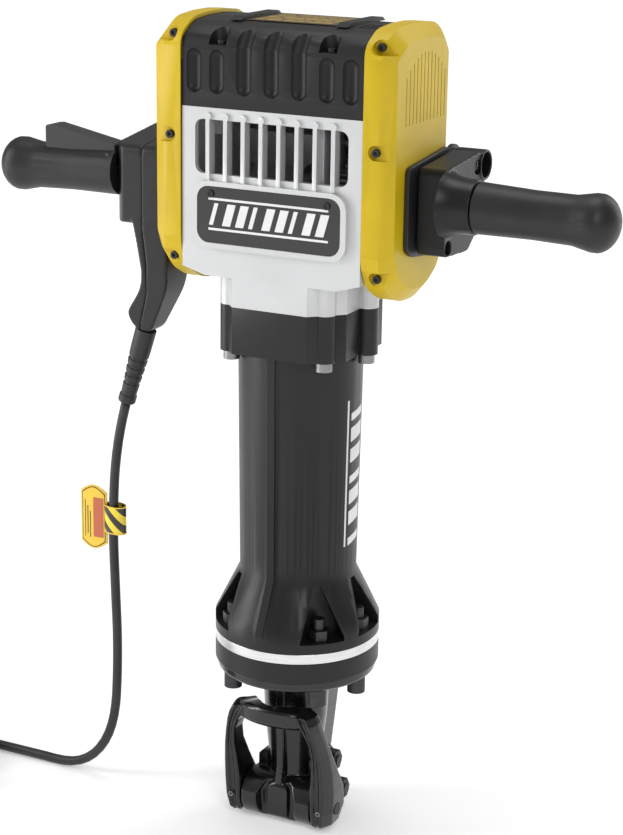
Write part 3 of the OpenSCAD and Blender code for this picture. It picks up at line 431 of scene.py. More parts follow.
YELLOW = (0.57, 0.40, 0.003)
FINISHES = {
    "case_silver": painted_casting("lacquered_aluminium", (0.58, 0.585, 0.59)),
    "cover_black": moulded("grained_black_plastic", (0.009, 0.009, 0.010), 0.42, specular=0.32),
    "label_amber": moulded("dark_foil", (0.060, 0.040, 0.012), 0.3, 300, 0.00001),
    "cover_yellow": moulded("yellow_plastic", YELLOW, 0.38, 700, 0.00002, specular=0.35),
    "screw_black": metal("black_oxide_screws", (0.05, 0.05, 0.055), 0.4, (1, 1, 1), 300),
    "badge_black": moulded("badge_lacquer", (0.012, 0.012, 0.014), 0.28, 500, 0.00002, coat=0.3),
    "pad_black": moulded("black_pad", (0.014, 0.014, 0.016), 0.4),
    "barrel_black": powder_coat("barrel_powder_coat", (0.009, 0.009, 0.010), 0.32, specular=0.35),
    "bolt_steel": metal("dull_steel_bolts", (0.30, 0.30, 0.31), 0.34, (1, 1, 12), 90),
    "band_bright": metal("turned_ring", (0.78, 0.78, 0.79), 0.2, (1, 1, 60), 40),
    "damper_black": powder_coat("damper_coat", (0.010, 0.010, 0.011), 0.36, specular=0.35),
    "nose_black": gloss_cast("nose_gloss", (0.005, 0.005, 0.006)),
    "bolt_black": metal("black_bolts", (0.07, 0.07, 0.075), 0.38, (1, 1, 8), 120),
    "steel_tool": metal("ground_tool_steel", (0.46, 0.46, 0.48), 0.28),
    "rubber_inner": rubber("inner_rubber", (0.02, 0.02, 0.02), 0.6),
    "steel_dark": bands("laminated_core", (0.22, 0.22, 0.24), (0.1, 0.1, 0.11), 0.45, "X", 1400),
    "brass_holder": metal("brass_sheet", (0.62, 0.44, 0.16), 0.35, (1, 20, 1), 60),
    "carbon_black": moulded("carbon", (0.03, 0.03, 0.032), 0.6, 500, 0.00006),
    "alu_inner": painted_casting("cast_aluminium", (0.5, 0.5, 0.52)),
    "steel_bearing": metal("bearing_steel", (0.55, 0.55, 0.57), 0.2, (40, 1, 1), 60),
    "module_grey": moulded("potted_module", (0.06, 0.07, 0.09), 0.5),
    "commutator_copper": bands("copper_bars", (0.75, 0.36, 0.18), (0.1, 0.06, 0.04), 0.3, "Y", 300),
    "fan_black": moulded("fan_plastic", (0.03, 0.03, 0.03), 0.45),
    "steel_gear": metal("gear_steel", (0.35, 0.35, 0.37), 0.3, (30, 1, 1), 60),
    "steel_rod": metal("forged_steel", (0.38, 0.38, 0.4), 0.42, (1, 1, 1), 80),
    "latch_black": gloss_cast("latch_gloss", (0.004, 0.004, 0.005)),
    "block_black": powder_coat("block_coat", (0.006, 0.006, 0.007), 0.3, specular=0.3),
    "grip_rubber": rubber("grip_rubber", (0.006, 0.006, 0.007), 0.4),
    "tube_steel": metal("plated_tube", (0.5, 0.5, 0.52), 0.3, (40, 1, 1), 60),
    "case_black": moulded("switch_case_plastic", (0.010, 0.010, 0.011), 0.36, specular=0.4),
    "switch_grey": moulded("switch_plastic", (0.05, 0.05, 0.055), 0.45),
    "spring_steel": metal("spring_wire", (0.4, 0.4, 0.42), 0.3, (1, 1, 1), 200),
    "trigger_black": moulded("trigger_plastic", (0.016, 0.016, 0.018), 0.34),
    "relief_rubber": rubber("relief_rubber", (0.014, 0.014, 0.015), 0.42),
    "cord_rubber": rubber("cord_rubber", (0.020, 0.020, 0.021), 0.42),
    "plug_rubber": rubber("plug_rubber", (0.018, 0.018, 0.019), 0.45),
    "tie_black": moulded("tie_plastic", (0.015, 0.015, 0.015), 0.4),
    "tag_yellow": moulded("tag_foil", (0.80, 0.52, 0.03), 0.34, 300, 0.00001, coat=0.3),
}
TAG_BAND = hazard("tag_stripes", (0.82, 0.62, 0.03), (0.012, 0.012, 0.012), 0.019)
TAG_BORDER = moulded("tag_border", (0.10, 0.065, 0.01), 0.4, 300, 0.00001)
TAG_PANEL = moulded("tag_panel", (0.50, 0.13, 0.06), 0.4, 300, 0.00001)
WHITE_INK = moulded("white_ink", (0.74, 0.74, 0.74), 0.4, 600, 0.00001)
GOLD_INK = moulded("gold_ink", (0.52, 0.34, 0.05), 0.35, 600, 0.00001)
SLOT_OF = {s["node"]: s["material_slot"] for s in frame["record"]["subparts"]}
BODY_OF = {n: b for b, nodes in frame["record"]["behaviour"]["bodies"].items() for n in nodes}

# ---- Piece building ----


def new_piece(name, mesh, node_or_body, slot=None, material=None):
    """Links a mesh as a piece that rides on a node's body and wears that node's finish."""
    piece = bpy.data.objects.new(name, mesh)
    bpy.context.collection.objects.link(piece)
    slot = slot or SLOT_OF[node_or_body]
    mesh.materials.clear()
    mesh.materials.append(material or FINISHES[slot])
    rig.slot(piece, slot)
    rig.ride(piece, BODY_OF.get(node_or_body, node_or_body))
    return piece


def smooth(mesh, angle=35):
    mesh.shade_smooth()
    mesh.set_sharp_from_angle(angle=math.radians(angle))


def round_edges(piece, width, angle=32, segments=2):
    """Bevels every edge that is sharper than angle."""
    bevel = piece.modifiers.new("edges", "BEVEL")
    bevel.width = width
    bevel.segments = segments
    bevel.limit_method = "ANGLE"
    bevel.angle_limit = math.radians(angle)
    bevel.harden_normals = True
    bevel.use_clamp_overlap = True


def soften(node, width=0.0006, angle=32, segments=2):
    """Stands for a CAD node with the same shape, its flat faces whole again and its edges rounded."""
    mesh = frame["nodes"][node].data.copy()
    bm = bmesh.new()
    bm.from_mesh(mesh)
    bmesh.ops.remove_doubles(bm, verts=bm.verts, dist=2e-6)
    bmesh.ops.dissolve_limit(bm, angle_limit=math.radians(0.6), verts=bm.verts, edges=bm.edges)
    bm.to_mesh(mesh)
    bm.free()
    smooth(mesh)
    piece = new_piece(node + "_body", mesh, node)
    round_edges(piece, width, angle, segments)
    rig.replaces(piece, node)
    return piece


def mesh_from(name, points, faces):
    mesh = bpy.data.meshes.new(name)
    mesh.from_pydata([tuple(p) for p in points], [], faces)
    mesh.validate()
    bm = bmesh.new()
    bm.from_mesh(mesh)
    bmesh.ops.recalc_face_normals(bm, faces=bm.faces)
    bm.to_mesh(mesh)
    bm.free()
    return mesh


def loft(name, rings, closed=False):
    """Skin over rings of points; closed joins the last ring to the first, otherwise both ends are capped."""
    count = len(rings[0])
    faces = []
    pairs = len(rings) if closed else len(rings) - 1
    for i in range(pairs):
        a, b = i * count, (i + 1) % len(rings) * count
        for k in range(count):
            n = (k + 1) % count
            faces.append((a + k, a + n, b + n, b + k))
    if not closed:
        faces.append(tuple(reversed(range(count))))
        faces.append(tuple((len(rings) - 1) * count + k for k in range(count)))
    return mesh_from(name, [p for ring in rings for p in ring], faces)


def ring(centre, u, v, radius, sides):
    """Points of a circle in the plane of the unit vectors u and v."""
    angles = [TURN * k / sides for k in range(sides)]
    return [centre + (u * math.cos(a) + v * math.sin(a)) * radius for a in angles]


def lathe(name, profile, start, axis, sides):
    """Turns a profile of (distance along, radius) about a line."""
    axis = Vector(axis).normalized()
    u = axis.orthogonal().normalized()
    v = axis.cross(u)
    return loft(name, [ring(Vector(start) + axis * along, u, v, radius, sides) for along, radius in profile])


def fused(name, meshes, node, voxel, rounds, keep):
    """Melts closed meshes into one casting: every edge rounded, every inner corner filleted.

    voxel is the grid in metres, rounds the smoothing passes, keep the share of faces that stays.
    """
    bm = bmesh.new()
    for mesh in meshes:
        bm.from_mesh(mesh)
    raw = bpy.data.meshes.new(name + "_raw")
    bm.to_mesh(raw)
    bm.free()
    rough = bpy.data.objects.new(name + "_raw", raw)
    bpy.context.collection.objects.link(rough)
    melt = rough.modifiers.new("melt", "REMESH")
    melt.mode = "VOXEL"
    melt.voxel_size = voxel
    relax = rough.modifiers.new("relax", "SMOOTH")
    relax.factor = 0.5
    relax.iterations = rounds
    thin = rough.modifiers.new("thin", "DECIMATE")
    thin.ratio = keep
    graph = bpy.context.evaluated_depsgraph_get()
    mesh = bpy.data.meshes.new_from_object(rough.evaluated_get(graph))
    mesh.name = name
    bpy.data.objects.remove(rough)
    bpy.data.meshes.remove(raw)
    mesh.shade_smooth()
    piece = new_piece(name, mesh, node)
    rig.replaces(piece, node)


def plate(name, outline, thick, place):
    """A flat plate from a 2-D outline; place(u, v, w) gives the point at (u, v) and height w."""
    count = len(outline)
    points = [place(u, v, w) for w in (0.0, thick) for u, v in outline]
    faces = [tuple(reversed(range(count))), tuple(range(count, 2 * count))]
    faces += [(k, (k + 1) % count, count + (k + 1) % count, count + k) for k in range(count)]
    return mesh_from(name, points, faces)


def joined(name, meshes):
    """One mesh that holds all the others."""
    bm = bmesh.new()
    for mesh in meshes:
        bm.from_mesh(mesh)
    out = bpy.data.meshes.new(name)
    bm.to_mesh(out)
    bm.free()
    return out


def round_rect(u0, v0, u1, v1, radius, steps=6):
    """Outline of a rectangle with round corners."""
    corners = [
        (u1 - radius, v1 - radius, 0), (u0 + radius, v1 - radius, 90),
        (u0 + radius, v0 + radius, 180), (u1 - radius, v0 + radius, 270),
    ]
    outline = []
    for u, v, start in corners:
        for k in range(steps + 1):
            a = math.radians(start + 90 * k / steps)
            outline.append((u + radius * math.cos(a), v + radius * math.sin(a)))
    return outline


def tube(name, path, radius, sides):
    """Round tube along a path that is close to a plane, with its rings kept from twisting."""
    rings = []
    side = None
    for i, point in enumerate(path):
        along = (path[min(i + 1, len(path) - 1)] - path[max(i - 1, 0)]).normalized()
        if side is None:
            side = along.orthogonal().normalized()
        side = (side - along * side.dot(along)).normalized()
        other = along.cross(side)
        rings.append(ring(point, side, other, radius, sides))
    return loft(name, rings)


def through(points, steps):
    """Smooth curve through points that are about evenly spaced, with so many steps between two of them."""
    out = []
    for i in range(len(points) - 1):
        p0 = points[max(i - 1, 0)]
        p1, p2 = points[i], points[i + 1]
        p3 = points[min(i + 2, len(points) - 1)]
        for k in range(steps):
            t = k / steps
            out.append(0.5 * (
                2 * p1 + (p2 - p0) * t + (2 * p0 - 5 * p1 + 4 * p2 - p3) * t ** 2
                + (3 * p1 - p0 - 3 * p2 + p3) * t ** 3
            ))
    return out + [points[-1]]


def ease(t):
    """Rises smoothly from 0 to 1 while t does."""
    t = min(1.0, max(0.0, t))
    return t * t * (3 - 2 * t)


# ---- Cord ----

CORD_R = 0.005
CORD_Y = -0.030
# Hanging part, in mm as (x, z), from the strain relief's end down to the coil
CORD_ROUTE = [
    (-182, 421), (-187, 402), (-192, 378), (-196, 350), (-198, 322), (-199, 292), (-199, 262), (-198, 232),
    (-197, 202), (-196, 172), (-196, 142), (-197, 112), (-199, 86), (-204, 62), (-213, 41), (-227, 23),
    (-245, 11), (-266, 6), (-292, 6), (-320, 6), (-345, 6), (-370, 6), (-390, 6),
]
COIL_CENTRE = Vector((-0.410, -0.100, 0))
COIL_OUTER, COIL_INNER, COIL_FLOOR = 0.070, 0.040, 0.006
RANKS = 4
TURNS = 11.5
PLUG_HEIGHT = 0.048
COIL_BULGE = 0.002


def coil_point(turn):
    """Point of the coil after so many turns: its ranks run inwards, then outwards on top of them.

    The last half turn rises to the plug.
    """
    row, rank = divmod(int(turn), RANKS)
    share = turn - int(turn)
    inwards = row % 2 == 0
    step = 2 * CORD_R
    radius = COIL_OUTER - step * rank if inwards else COIL_INNER + step * rank
    height = COIL_FLOOR + step * row
    late = ease((share - 0.5) * 2)
    bulge = COIL_BULGE * math.sin(math.pi * late)
    if rank == RANKS - 1:
        height += step * late
        radius += -bulge if inwards else bulge
    else:
        radius += (-step if inwards else step) * late
    if turn >= TURNS - 0.5:
        last_row = COIL_FLOOR + step * 2
        height = last_row + (PLUG_HEIGHT - last_row) * ease((turn - TURNS + 0.5) * 2)
        radius = COIL_INNER
    angle = TURN / 4 + TURN * turn
    return COIL_CENTRE + Vector((radius * math.cos(angle), radius * math.sin(angle), height))


def cord_path():
    """Points of the whole cord, from the strain relief to the plug."""
    hanging = through([Vector((x * MM, CORD_Y, z * MM)) for x, z in CORD_ROUTE], 2)
    per_turn = 28
    return hanging + [coil_point(i / per_turn) for i in range(int(TURNS * per_turn) + 1)]


def path_length(path):
    return sum((b - a).length for a, b in zip(path, path[1:]))


def make_cord():
    path = cord_path()
    mesh = tube("cord", path, CORD_R, 14)
    mesh.shade_smooth()
    piece = bpy.data.objects.new("mains_cord", mesh)
    bpy.context.collection.objects.link(piece)
    mesh.materials.append(FINISHES["cord_rubber"])
    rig.slot(piece, "cord_rubber")
    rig.replaces(piece, "cord", "cord_coil")
    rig.blend(piece, "handles", "housing", start=(-0.190, CORD_Y, 0.40), end=(-0.197, CORD_Y, 0.18))
    return piece, path


def groove(start, radius, depth, ramp, flat):
    """Profile points of a groove round a turned piece, as (distance along, radius)."""
    return [
        (start, radius), (start + ramp, radius - depth),
        (start + ramp + flat, radius - depth), (start + 2 * ramp + flat, radius),
    ]


def make_relief():
    """Tapered sleeve with shallow grooves and a collar at its end, from the leg's foot to the cord."""
    top = Vector((-0.158, CORD_Y, 0.500))
    end = Vector((CORD_ROUTE[0][0] * MM, CORD_Y, CORD_ROUTE[0][1] * MM))
    length = (end - top).length - 0.0004
    profile = [(0, 0.0), (0, 0.0108), (0.018, 0.0106), (0.026, 0.0104)]
    for k in range(4):
        profile += groove(0.030 + 0.009 * k, 0.0101 - 0.0005 * k, 0.0011, 0.0010, 0.0018)
    profile += [
        (length - 0.0095, 0.0079), (length - 0.0085, 0.0090), (length - 0.0015, 0.0090),
        (length - 0.0004, 0.0082), (length, 0.0060), (length, 0.0),
    ]
    mesh = lathe("strain_relief", profile, top, end - top, 40)
    smooth(mesh)
    piece = new_piece("ribbed_relief", mesh, "strain_relief")
    round_edges(piece, 0.0004)
    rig.replaces(piece, "strain_relief")
    return piece


def make_plug():
    """Round moulded plug with a waisted grip, ribs round its tail and two pins."""
    low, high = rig.box("plug")
    height = (low[2] + high[2]) / 2
    across = (low[1] + high[1]) / 2
    tail = Vector((low[0], across, height))
    profile = [(0, 0.0), (0, 0.0068), (0.003, 0.0075)]
    for k in range(4):
        profile += groove(0.005 + 0.0045 * k, 0.0076 + 0.0003 * k, 0.0009, 0.0008, 0.0014)
    profile += [
        (0.026, 0.0105), (0.031, 0.0162), (0.0345, 0.0170), (0.040, 0.0156), (0.047, 0.0156),
        (0.0525, 0.0169), (0.0545, 0.0168), (0.0560, 0.0155), (0.0560, 0.0),
    ]
    body = lathe("plug", profile, tail, (1, 0, 0), 56)
    smooth(body, 50)
    piece = new_piece("plug_body", body, "plug")
    round_edges(piece, 0.0005)
    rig.replaces(piece, "plug")
    pins = []
    pin_root, pin_offset, pin_r = 0.055, 0.0095, 0.0024
    for side in (-pin_offset, pin_offset):
        start = Vector((low[0] + pin_root, across + side, height))
        reach = high[0] - start.x
        outline = [(0, 0.0), (0, pin_r), (reach - 0.0012, pin_r), (reach - 0.0003, 0.0016), (reach, 0.0)]
        pins.append(lathe("pin", outline, start, (1, 0, 0), 24))
    mesh = joined("plug_pins", pins)
    smooth(mesh)
    pin_piece = new_piece("plug_pins", mesh, "plug", material=FINISHES["steel_bearing"])
    return piece, pin_piece


def tag_ring(name, centre, section):
    """Oval ring round the cord with a section of (radius, height), tilted a little."""
    steps = 48
    rings = []
    for k in range(steps):
        a = TURN * k / steps
        out = Vector((math.cos(a), 0.55 * math.sin(a), 0))
        lift = 0.0008 * math.sin(a)
        rings.append([centre + out * r + Vector((0, 0, height + lift)) for r, height in section])
    return loft(name, rings, closed=True)


def make_tag():
    """Foil flag with a dark border and a reddish panel, held by a striped band round the cord."""
    low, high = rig.box("cord_tag")
    band_r = 0.0125
    band_x = high[0] - band_r
    flag = (low[0], low[2], band_x - band_r + 0.003, high[2])
    bow = 0.004

    def place(u, v, w):
        share = (u - flag[0]) / (flag[2] - flag[0])
        return u, CORD_Y + bow * (share - 1) * share - 0.0009 + w, v

    def arched(inset):
        """Flag outline with bowed top and bottom edges."""
        u0, v0, u1, v1 = flag[0] + inset, flag[1] + inset, flag[2] - inset, flag[3] - inset
        rise = 0.007
        steps = 12
        top = []
        foot = []
        for k in range(steps + 1):
            swell = rise * math.sin(math.pi * k / steps)
            top.append((u1 + (u0 - u1) * k / steps, v1 - rise + swell))
            foot.append((u0 + (u1 - u0) * k / steps, v0 + rise - swell))
        return top + foot

    def layer(name, outline, base, thick, material):
        mesh = plate(name, outline, thick, lambda u, v, w: place(u, v, base - w))
        return new_piece(name, mesh, "cord_tag", material=material)

    width = flag[2] - flag[0]
    pieces = [
        layer("tag_flag", arched(0.0), 0.0008, 0.0016, None),
        layer("tag_border", arched(0.0016), -0.0007, 0.0002, TAG_BORDER),
        layer("tag_face", arched(0.0026), -0.0007, 0.0003, None),
        layer("tag_panel", round_rect(
            flag[0] + 0.50 * width, flag[1] + 0.013, flag[0] + 0.88 * width, flag[3] - 0.013, 0.001
        ), -0.0009, 0.0003, TAG_PANEL),
    ]
    rules = []
    for k, (start, end) in enumerate(((0.012, 0.052), (0.016, 0.046), (0.012, 0.040))):
        u = flag[0] + width * (0.16 + 0.10 * k)
        v0, v1 = flag[1] + start, flag[1] + end
        outline = [(u, v0), (u + 0.0010, v0), (u + 0.0010, v1), (u, v1)]
        rules.append(plate("rule", outline, 0.0002, lambda u, v, w: place(u, v, -0.0009 - w)))
    pieces.append(new_piece("tag_rules", joined("tag_rules", rules), "cord_tag", material=TAG_BORDER))

    centre = Vector((band_x, CORD_Y, 0))
    bottom, top = 0.279, 0.309
    inside = band_r - 0.0008
    band = tag_ring("tag_band", centre, [(band_r, bottom), (band_r, top), (inside, top), (inside, bottom)])
    smooth(band)
    pieces.append(new_piece("tag_band", band, "cord_tag", material=TAG_BAND))
    edges = []
    edge_width = 0.0012
    r0, r1 = band_r - 0.0009, band_r + 0.0003
    for z0 in (bottom + 0.0004, top - 0.0014):
        z1 = z0 + edge_width
        edges.append(tag_ring("edge", centre, [(r1, z0), (r1, z1), (r0, z1), (r0, z0)]))
    edge_mesh = joined("tag_edges", edges)
    smooth(edge_mesh)
    pieces.append(new_piece("tag_edges", edge_mesh, "cord_tag"))
    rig.replaces(pieces[0], "cord_tag")
    return pieces


cord_piece, cord_line = make_cord()
relief = make_relief()
plug_pieces = make_plug()
tie = soften("cord_tie", 0.0004)
tag_pieces = make_tag()
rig.cord(
    cord_piece,
    exit=cord_line[0],
    length=round(path_length(cord_line), 2),
    diameter=2 * CORD_R,
    far_end="plug",
    stiffness="stiff",
    lay="coiled",
    path=cord_line,
    with_pieces=[relief, *plug_pieces, tie, *tag_pieces],
)

# ---- Castings with fillets ----


def cad_mesh(node):
    """The CAD node's own mesh, which stays unchanged."""
    return frame["nodes"][node].data


# Stations up one latch arm, in mm: height, inner side, outer front edge, front and rear
FORK_ARM = [
    (4.6, 42.0, 50.0, -40, -18),
    (9, 40.0, 53.0, -45, -12),
    (24, 39.6, 55.5, -48, -5),
    (45, 39.8, 56.5, -49, -9),
    (65, 41.5, 56.0, -51, -20),
    (85, 43.5, 54.3, -54, -29),
    (101, 42.0, 51.5, -57, -34),
    (114, 37.0, 48.5, -60, -36),
    (124, 31.0, 45.5, -61, -36),
    (131, 28.0, 42.0, -60, -36),
]


def fork_section(inner, outer, front, rear, flare):
    """Section of a latch arm as (across, depth): a groove down its front, its outer side sloping back."""
    middle = (inner + outer) / 2
    groove = (outer - inner) * 0.22
    return [
        (inner, front + 0.0025), (inner + 0.0020, front), (middle - groove, front + 0.0002),
        (middle - 0.6 * groove, front + 0.0030), (middle + 0.6 * groove, front + 0.0030),
        (middle + groove, front + 0.0002), (outer - 0.0010, front), (outer, front + 0.0012),
        (outer + 0.35 * flare, front + 0.0052), (outer + 0.45 * flare, front + 0.0058),
        (outer + flare, front + 0.0130), (outer + flare, rear - 0.0040), (outer + flare - 0.0040, rear),
        (inner + 0.0030, rear), (inner, rear - 0.0030),
    ]


def fork_arm(side):
    """One arm of the latch, from its foot to its shoulder."""
    rings = []
    for station in FORK_ARM:
        z, inner, outer, front, rear = (v * MM for v in station)
        flare = 0.0055 - 0.0025 * ease((z - 0.06) / 0.07)
        rings.append([(side * x, y, z) for x, y in fork_section(inner, outer, front, rear, flare)])
    return loft("arm", rings)


def fork_collar():
    """Crescent round the front of the nose that ties the two arms together."""
    rings = []
    steps = 28
    sweep = math.radians(47)
    for k in range(steps + 1):
        a = -sweep + 2 * sweep * k / steps
        turned = ease(abs(a) / math.radians(42))
        inner = 0.0530 - 0.0120 * turned
        outer = 0.0660 - 0.0035 * ease((abs(a) / sweep - 0.6) / 0.4)
        foot, top = 0.1155 - 0.0010 * turned, 0.1360 - 0.0045 * turned ** 3
        out = Vector((math.sin(a), -math.cos(a), 0))
        corners = [
            (inner, foot + 0.003), (inner + 0.003, foot), (outer - 0.005, foot), (outer, foot + 0.005),
            (outer, top - 0.003), (outer - 0.003, top), (inner + 0.002, top), (inner, top - 0.002),
        ]
        rings.append([out * r + Vector((0, 0, h)) for r, h in corners])
    return loft("collar", rings)


def make_latch():
    """Both arms and the collar, cast as one."""
    parts = [fork_arm(1), fork_arm(-1), fork_collar()]
    fused("latch_fork_casting", parts, "latch_fork", 0.0009, 5, 0.35)


def make_springs():
    """Suspension springs: their feet stay on the housing's lugs while the handles float."""
    low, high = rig.box("suspension_springs")
    mesh = cad_mesh("suspension_springs").copy()
    smooth(mesh)
    mesh.materials.clear()
    mesh.materials.append(FINISHES["spring_steel"])
    springs = bpy.data.objects.new("suspension_spring_wire", mesh)
    bpy.context.collection.objects.link(springs)
    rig.slot(springs, "spring_steel")
    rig.blend(springs, "handles", "housing", start=(0, 0, high[2]), end=(0, 0, low[2]))
    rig.replaces(springs, "suspension_springs")


def make_right_block():
    """The handle block with the flare that leads into its grip."""
    _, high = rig.box("right_block")
    root = Vector((0.159, -0.022, 0.655))
    length = high[0] - root.x
    neck_r, spread = 0.0256, 0.0065
    steps = 8
    profile = [(0.0, 0.0)]
    for k in range(steps + 1):
        t = k / steps
        profile.append((length * t, neck_r + spread * (1 - t) ** 3))
    profile.append((length, 0.0))
    flare = lathe("flare", profile, root, (1, 0, 0), 48)
    fused("right_block_casting", [cad_mesh("right_block"), flare], "right_block", 0.001, 6, 0.35)


make_latch()
make_springs()
make_right_block()
fused("nose_casting", [cad_mesh("nose")], "nose", 0.0011, 5, 0.35)
fused("switch_case_inner_shell", [cad_mesh("switch_case_inner")], "switch_case_inner", 0.001, 12, 0.3)
fused("switch_case_outer_shell", [cad_mesh("switch_case_outer")], "switch_case_outer", 0.001, 12, 0.3)

# ---- Printed marks, all plain bars ----

# Height of a printed mark above its surface
MARK = 0.0003


def make_badge_marks():
    """Two rules with a row of slanting bars between them."""
    low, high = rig.box("badge_plate")
    face = low[1]
    middle = (low[0] + high[0]) / 2
    reach = 0.0629

    def place(u, v, w):
        return middle + u, face - w, v

    marks = [
        plate("rule", [(-reach, z), (reach, z), (reach, z + 0.0022), (-reach, z + 0.0022)], MARK, place)
        for z in (0.6175, 0.6463)
    ]
    count = 9
    pitch = 2 * reach / count
    slant = 0.006
    foot, top = 0.6225, 0.6435
    for k in range(count):
        u = -reach + pitch * k + 0.0005
        width = pitch * (0.62 if k % 3 else 0.30)
        marks.append(plate(
            "bar", [(u, foot), (u + width, foot), (u + width + slant, top), (u + slant, top)], MARK, place
        ))
    new_piece("badge_marks", joined("badge_marks", marks), "badge_plate", material=WHITE_INK)


def barrel_radius(z):
    """The barrel tapers from its cone up to its collar."""
    return 0.0585 + 0.003 * (z - 0.281) / 0.217


def barrel_mark(angle0, angle1, z0, z1, lean=0.0):
    """A thin patch on the barrel's skin; angles run from the front towards +X."""
    across, upward = 6, 6
    rows = []
    for lift in (-0.0002, MARK):
        for j in range(upward + 1):
            z = z0 + (z1 - z0) * j / upward
            for i in range(across + 1):
                a = math.radians(angle0 + (angle1 - angle0) * i / across)
                height = z + lean * i / across
                r = barrel_radius(height) + lift
                rows.append((r * math.sin(a), -r * math.cos(a), height))
    wide = across + 1
    layer = wide * (upward + 1)
    faces = []
    for j in range(upward):
        for i in range(across):
            a = j * wide + i
            faces.append((a, a + wide, a + wide + 1, a + 1))
            faces.append((layer + a, layer + a + 1, layer + a + wide + 1, layer + a + wide))
    rim = list(range(wide))
    rim += [j * wide + across for j in range(1, upward + 1)]
    rim += [upward * wide + i for i in range(across - 1, -1, -1)]
    rim += [j * wide for j in range(upward - 1, 0, -1)]
    for a, b in zip(rim, rim[1:] + rim[:1]):
        faces.append((a, b, layer + b, layer + a))
    return mesh_from("mark", rows, faces)


def make_barrel_marks():
    """One rule up the barrel's right side, with a column of bars beside it."""
    foot, top = 0.302, 0.452
    marks = [barrel_mark(76.0, 78.2, foot, top)]
    count = 7
    pitch = (top - foot) / count
    for k in range(count):
        z = foot + pitch * k
        height = pitch * (0.66 if k % 3 else 0.36)
        marks.append(barrel_mark(82.0, 104.0, z, z + height, 0.004))
    mesh = joined("barrel_marks", marks)
    smooth(mesh)
    new_piece("barrel_marks", mesh, "barrel", material=WHITE_INK)


def make_label_marks():
    """Rows of short gold bars on the dark label."""
    low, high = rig.box("top_label")
    face = high[2]
    gap = 0.0055
    span = high[0] - low[0] - 2 * gap
    rows = 8
    marks = []
    for j in range(rows):
        v = low[1] + gap + (high[1] - low[1] - 2 * gap) * (j + 0.2) / rows
        thick = 0.0042 if j in (0, 3) else 0.0022
        u = low[0] + gap
        piece = 0
        while u < high[0] - gap - 0.004:
            width = min(high[0] - gap - u, span * (0.10 + 0.07 * ((3 * j + 5 * piece) % 4)))
            marks.append(plate(
                "bar", [(u, v), (u + width, v), (u + width, v + thick), (u, v + thick)], 0.0001,
                lambda a, b, w: (a, b, face + w),
            ))
            u += width + 0.0035
            piece += 1
    new_piece("label_marks", joined("label_marks", marks), "top_label", material=GOLD_INK)


make_badge_marks()
make_barrel_marks()
make_label_marks()

# ---- Softened castings and mouldings ----

# Bevel on each node's edges: width, the angle where an edge counts as sharp, segments
EDGES = {
    "crankcase": (0.0010, 32, 2),
    "top_cover": (0.0010, 20, 3),
    "top_label": (0.0002, 32, 1),
    "left_cover": (0.0020, 32, 3),
    "right_cover": (0.0020, 32, 3),
    "cover_screws": (0.0003, 32, 2),
    "badge_plate": (0.0004, 32, 2),
    "badge_screws": (0.0003, 32, 2),
    "base_plates": (0.0010, 32, 2),
    "barrel": (0.0010, 32, 2),
    "barrel_bolts": (0.0006, 32, 2),
    "barrel_band": (0.0004, 32, 2),
    "damper_ring": (0.0008, 32, 2),
    "nose_bolts": (0.0006, 32, 2),
    "nose_nuts": (0.0006, 32, 2),
    "cross_bolts": (0.0007, 32, 2),
    "cross_tube": (0.0006, 32, 2),
    "handle_screws": (0.0004, 32, 2),
    "latch_pin": (0.0008, 32, 2),
    "roll_pins": (0.0002, 32, 1),
    "trigger": (0.0016, 32, 3),
    "left_grip": (0.0010, 32, 2),
    "right_grip": (0.0010, 32, 2),
}
for name, (width, angle, segments) in EDGES.items():
    soften(name, width, angle, segments)

# Pieces inside the housing keep their CAD shape
for name, node in frame["nodes"].items():
    if not node.hide_render:
        node.data.materials.clear()
        node.data.materials.append(FINISHES[SLOT_OF[name]])

# ---- Stage and light ----


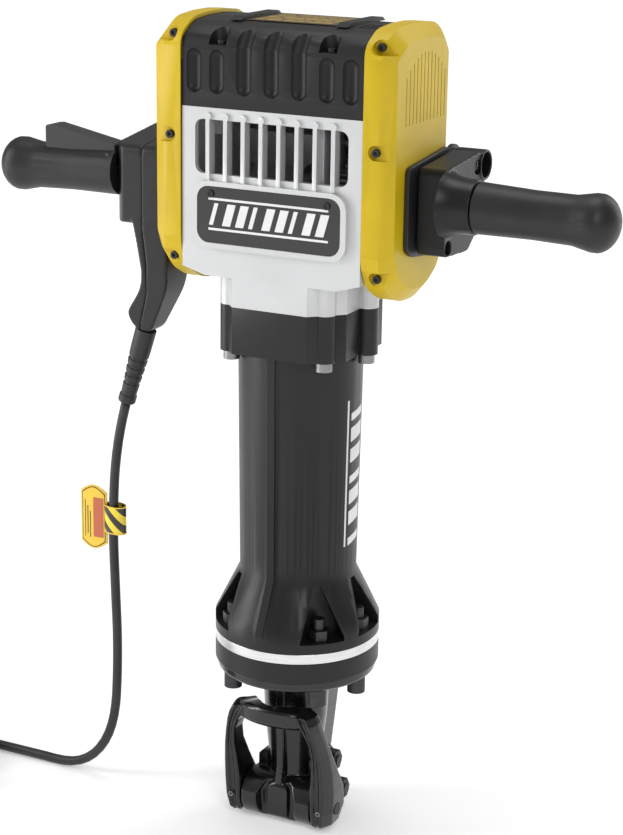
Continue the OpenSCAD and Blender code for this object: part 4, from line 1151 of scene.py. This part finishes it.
def make_floor():
    """Pale floor that glows more with distance, like a lit studio sweep."""
    reach = 14
    corners = [(-reach, -reach, 0), (reach, -reach, 0), (reach, reach, 0), (-reach, reach, 0)]
    mesh = mesh_from("floor", corners, [(0, 1, 2, 3)])
    floor = bpy.data.objects.new("floor", mesh)
    bpy.context.collection.objects.link(floor)
    f = Finish("pale_floor", (0.88, 0.88, 0.88), 0.9, specular=0.1)
    f.tint(f.span(f.noise(2), 0.3, 0.7, 0, 0.3), (0.85, 0.85, 0.86))
    distance = f.nodes.new("ShaderNodeVectorMath")
    distance.operation = "LENGTH"
    f.links.new(f.place, distance.inputs[0])
    glow = f.span(distance.outputs["Value"], 0.15, 3.0, 0.27, 0.75)
    f.shader.inputs["Emission Color"].default_value = (1, 1, 1, 1)
    f.links.new(glow, f.shader.inputs["Emission Strength"])
    mesh.materials.append(f.done())
    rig.stage(floor)


def softbox(name, place, aim, size, power):
    """White rectangular light at place that shines at aim; size in metres, power in watts."""
    light = bpy.data.lights.new(name, "AREA")
    light.shape = "RECTANGLE"
    light.size, light.size_y = size
    light.energy = power
    lamp = bpy.data.objects.new(name, light)
    bpy.context.collection.objects.link(lamp)
    lamp.location = place
    lamp.rotation_mode = "QUATERNION"
    lamp.rotation_quaternion = (Vector(aim) - Vector(place)).to_track_quat("-Z", "Y")


def make_world():
    """Even, weak white light from all round."""
    world = bpy.data.worlds.new("studio")
    world.use_nodes = True
    background = world.node_tree.nodes["Background"]
    background.inputs["Color"].default_value = (1, 1, 1, 1)
    background.inputs["Strength"].default_value = 0.34
    bpy.context.scene.world = world


make_floor()
make_world()
softbox("key", (1.5, -1.8, 2.0), (0, 0, 0.5), (0.9, 1.2), 21)
softbox("fill", (-2.0, -1.2, 1.1), (0, 0, 0.45), (0.6, 2.4), 40)
softbox("top", (0.0, 0.3, 2.6), (0, 0, 0.6), (1.6, 1.0), 20)
softbox("rim", (1.0, 1.9, 1.4), (0, 0, 0.5), (0.7, 2.0), 14)
bpy.context.scene.view_settings.view_transform = "Standard"

visual_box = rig.bounds()
with open("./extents.json", "w") as out:
    json.dump({"cad": [list(v) for v in cad_box], "visual": [list(v) for v in visual_box]}, out, indent=1)
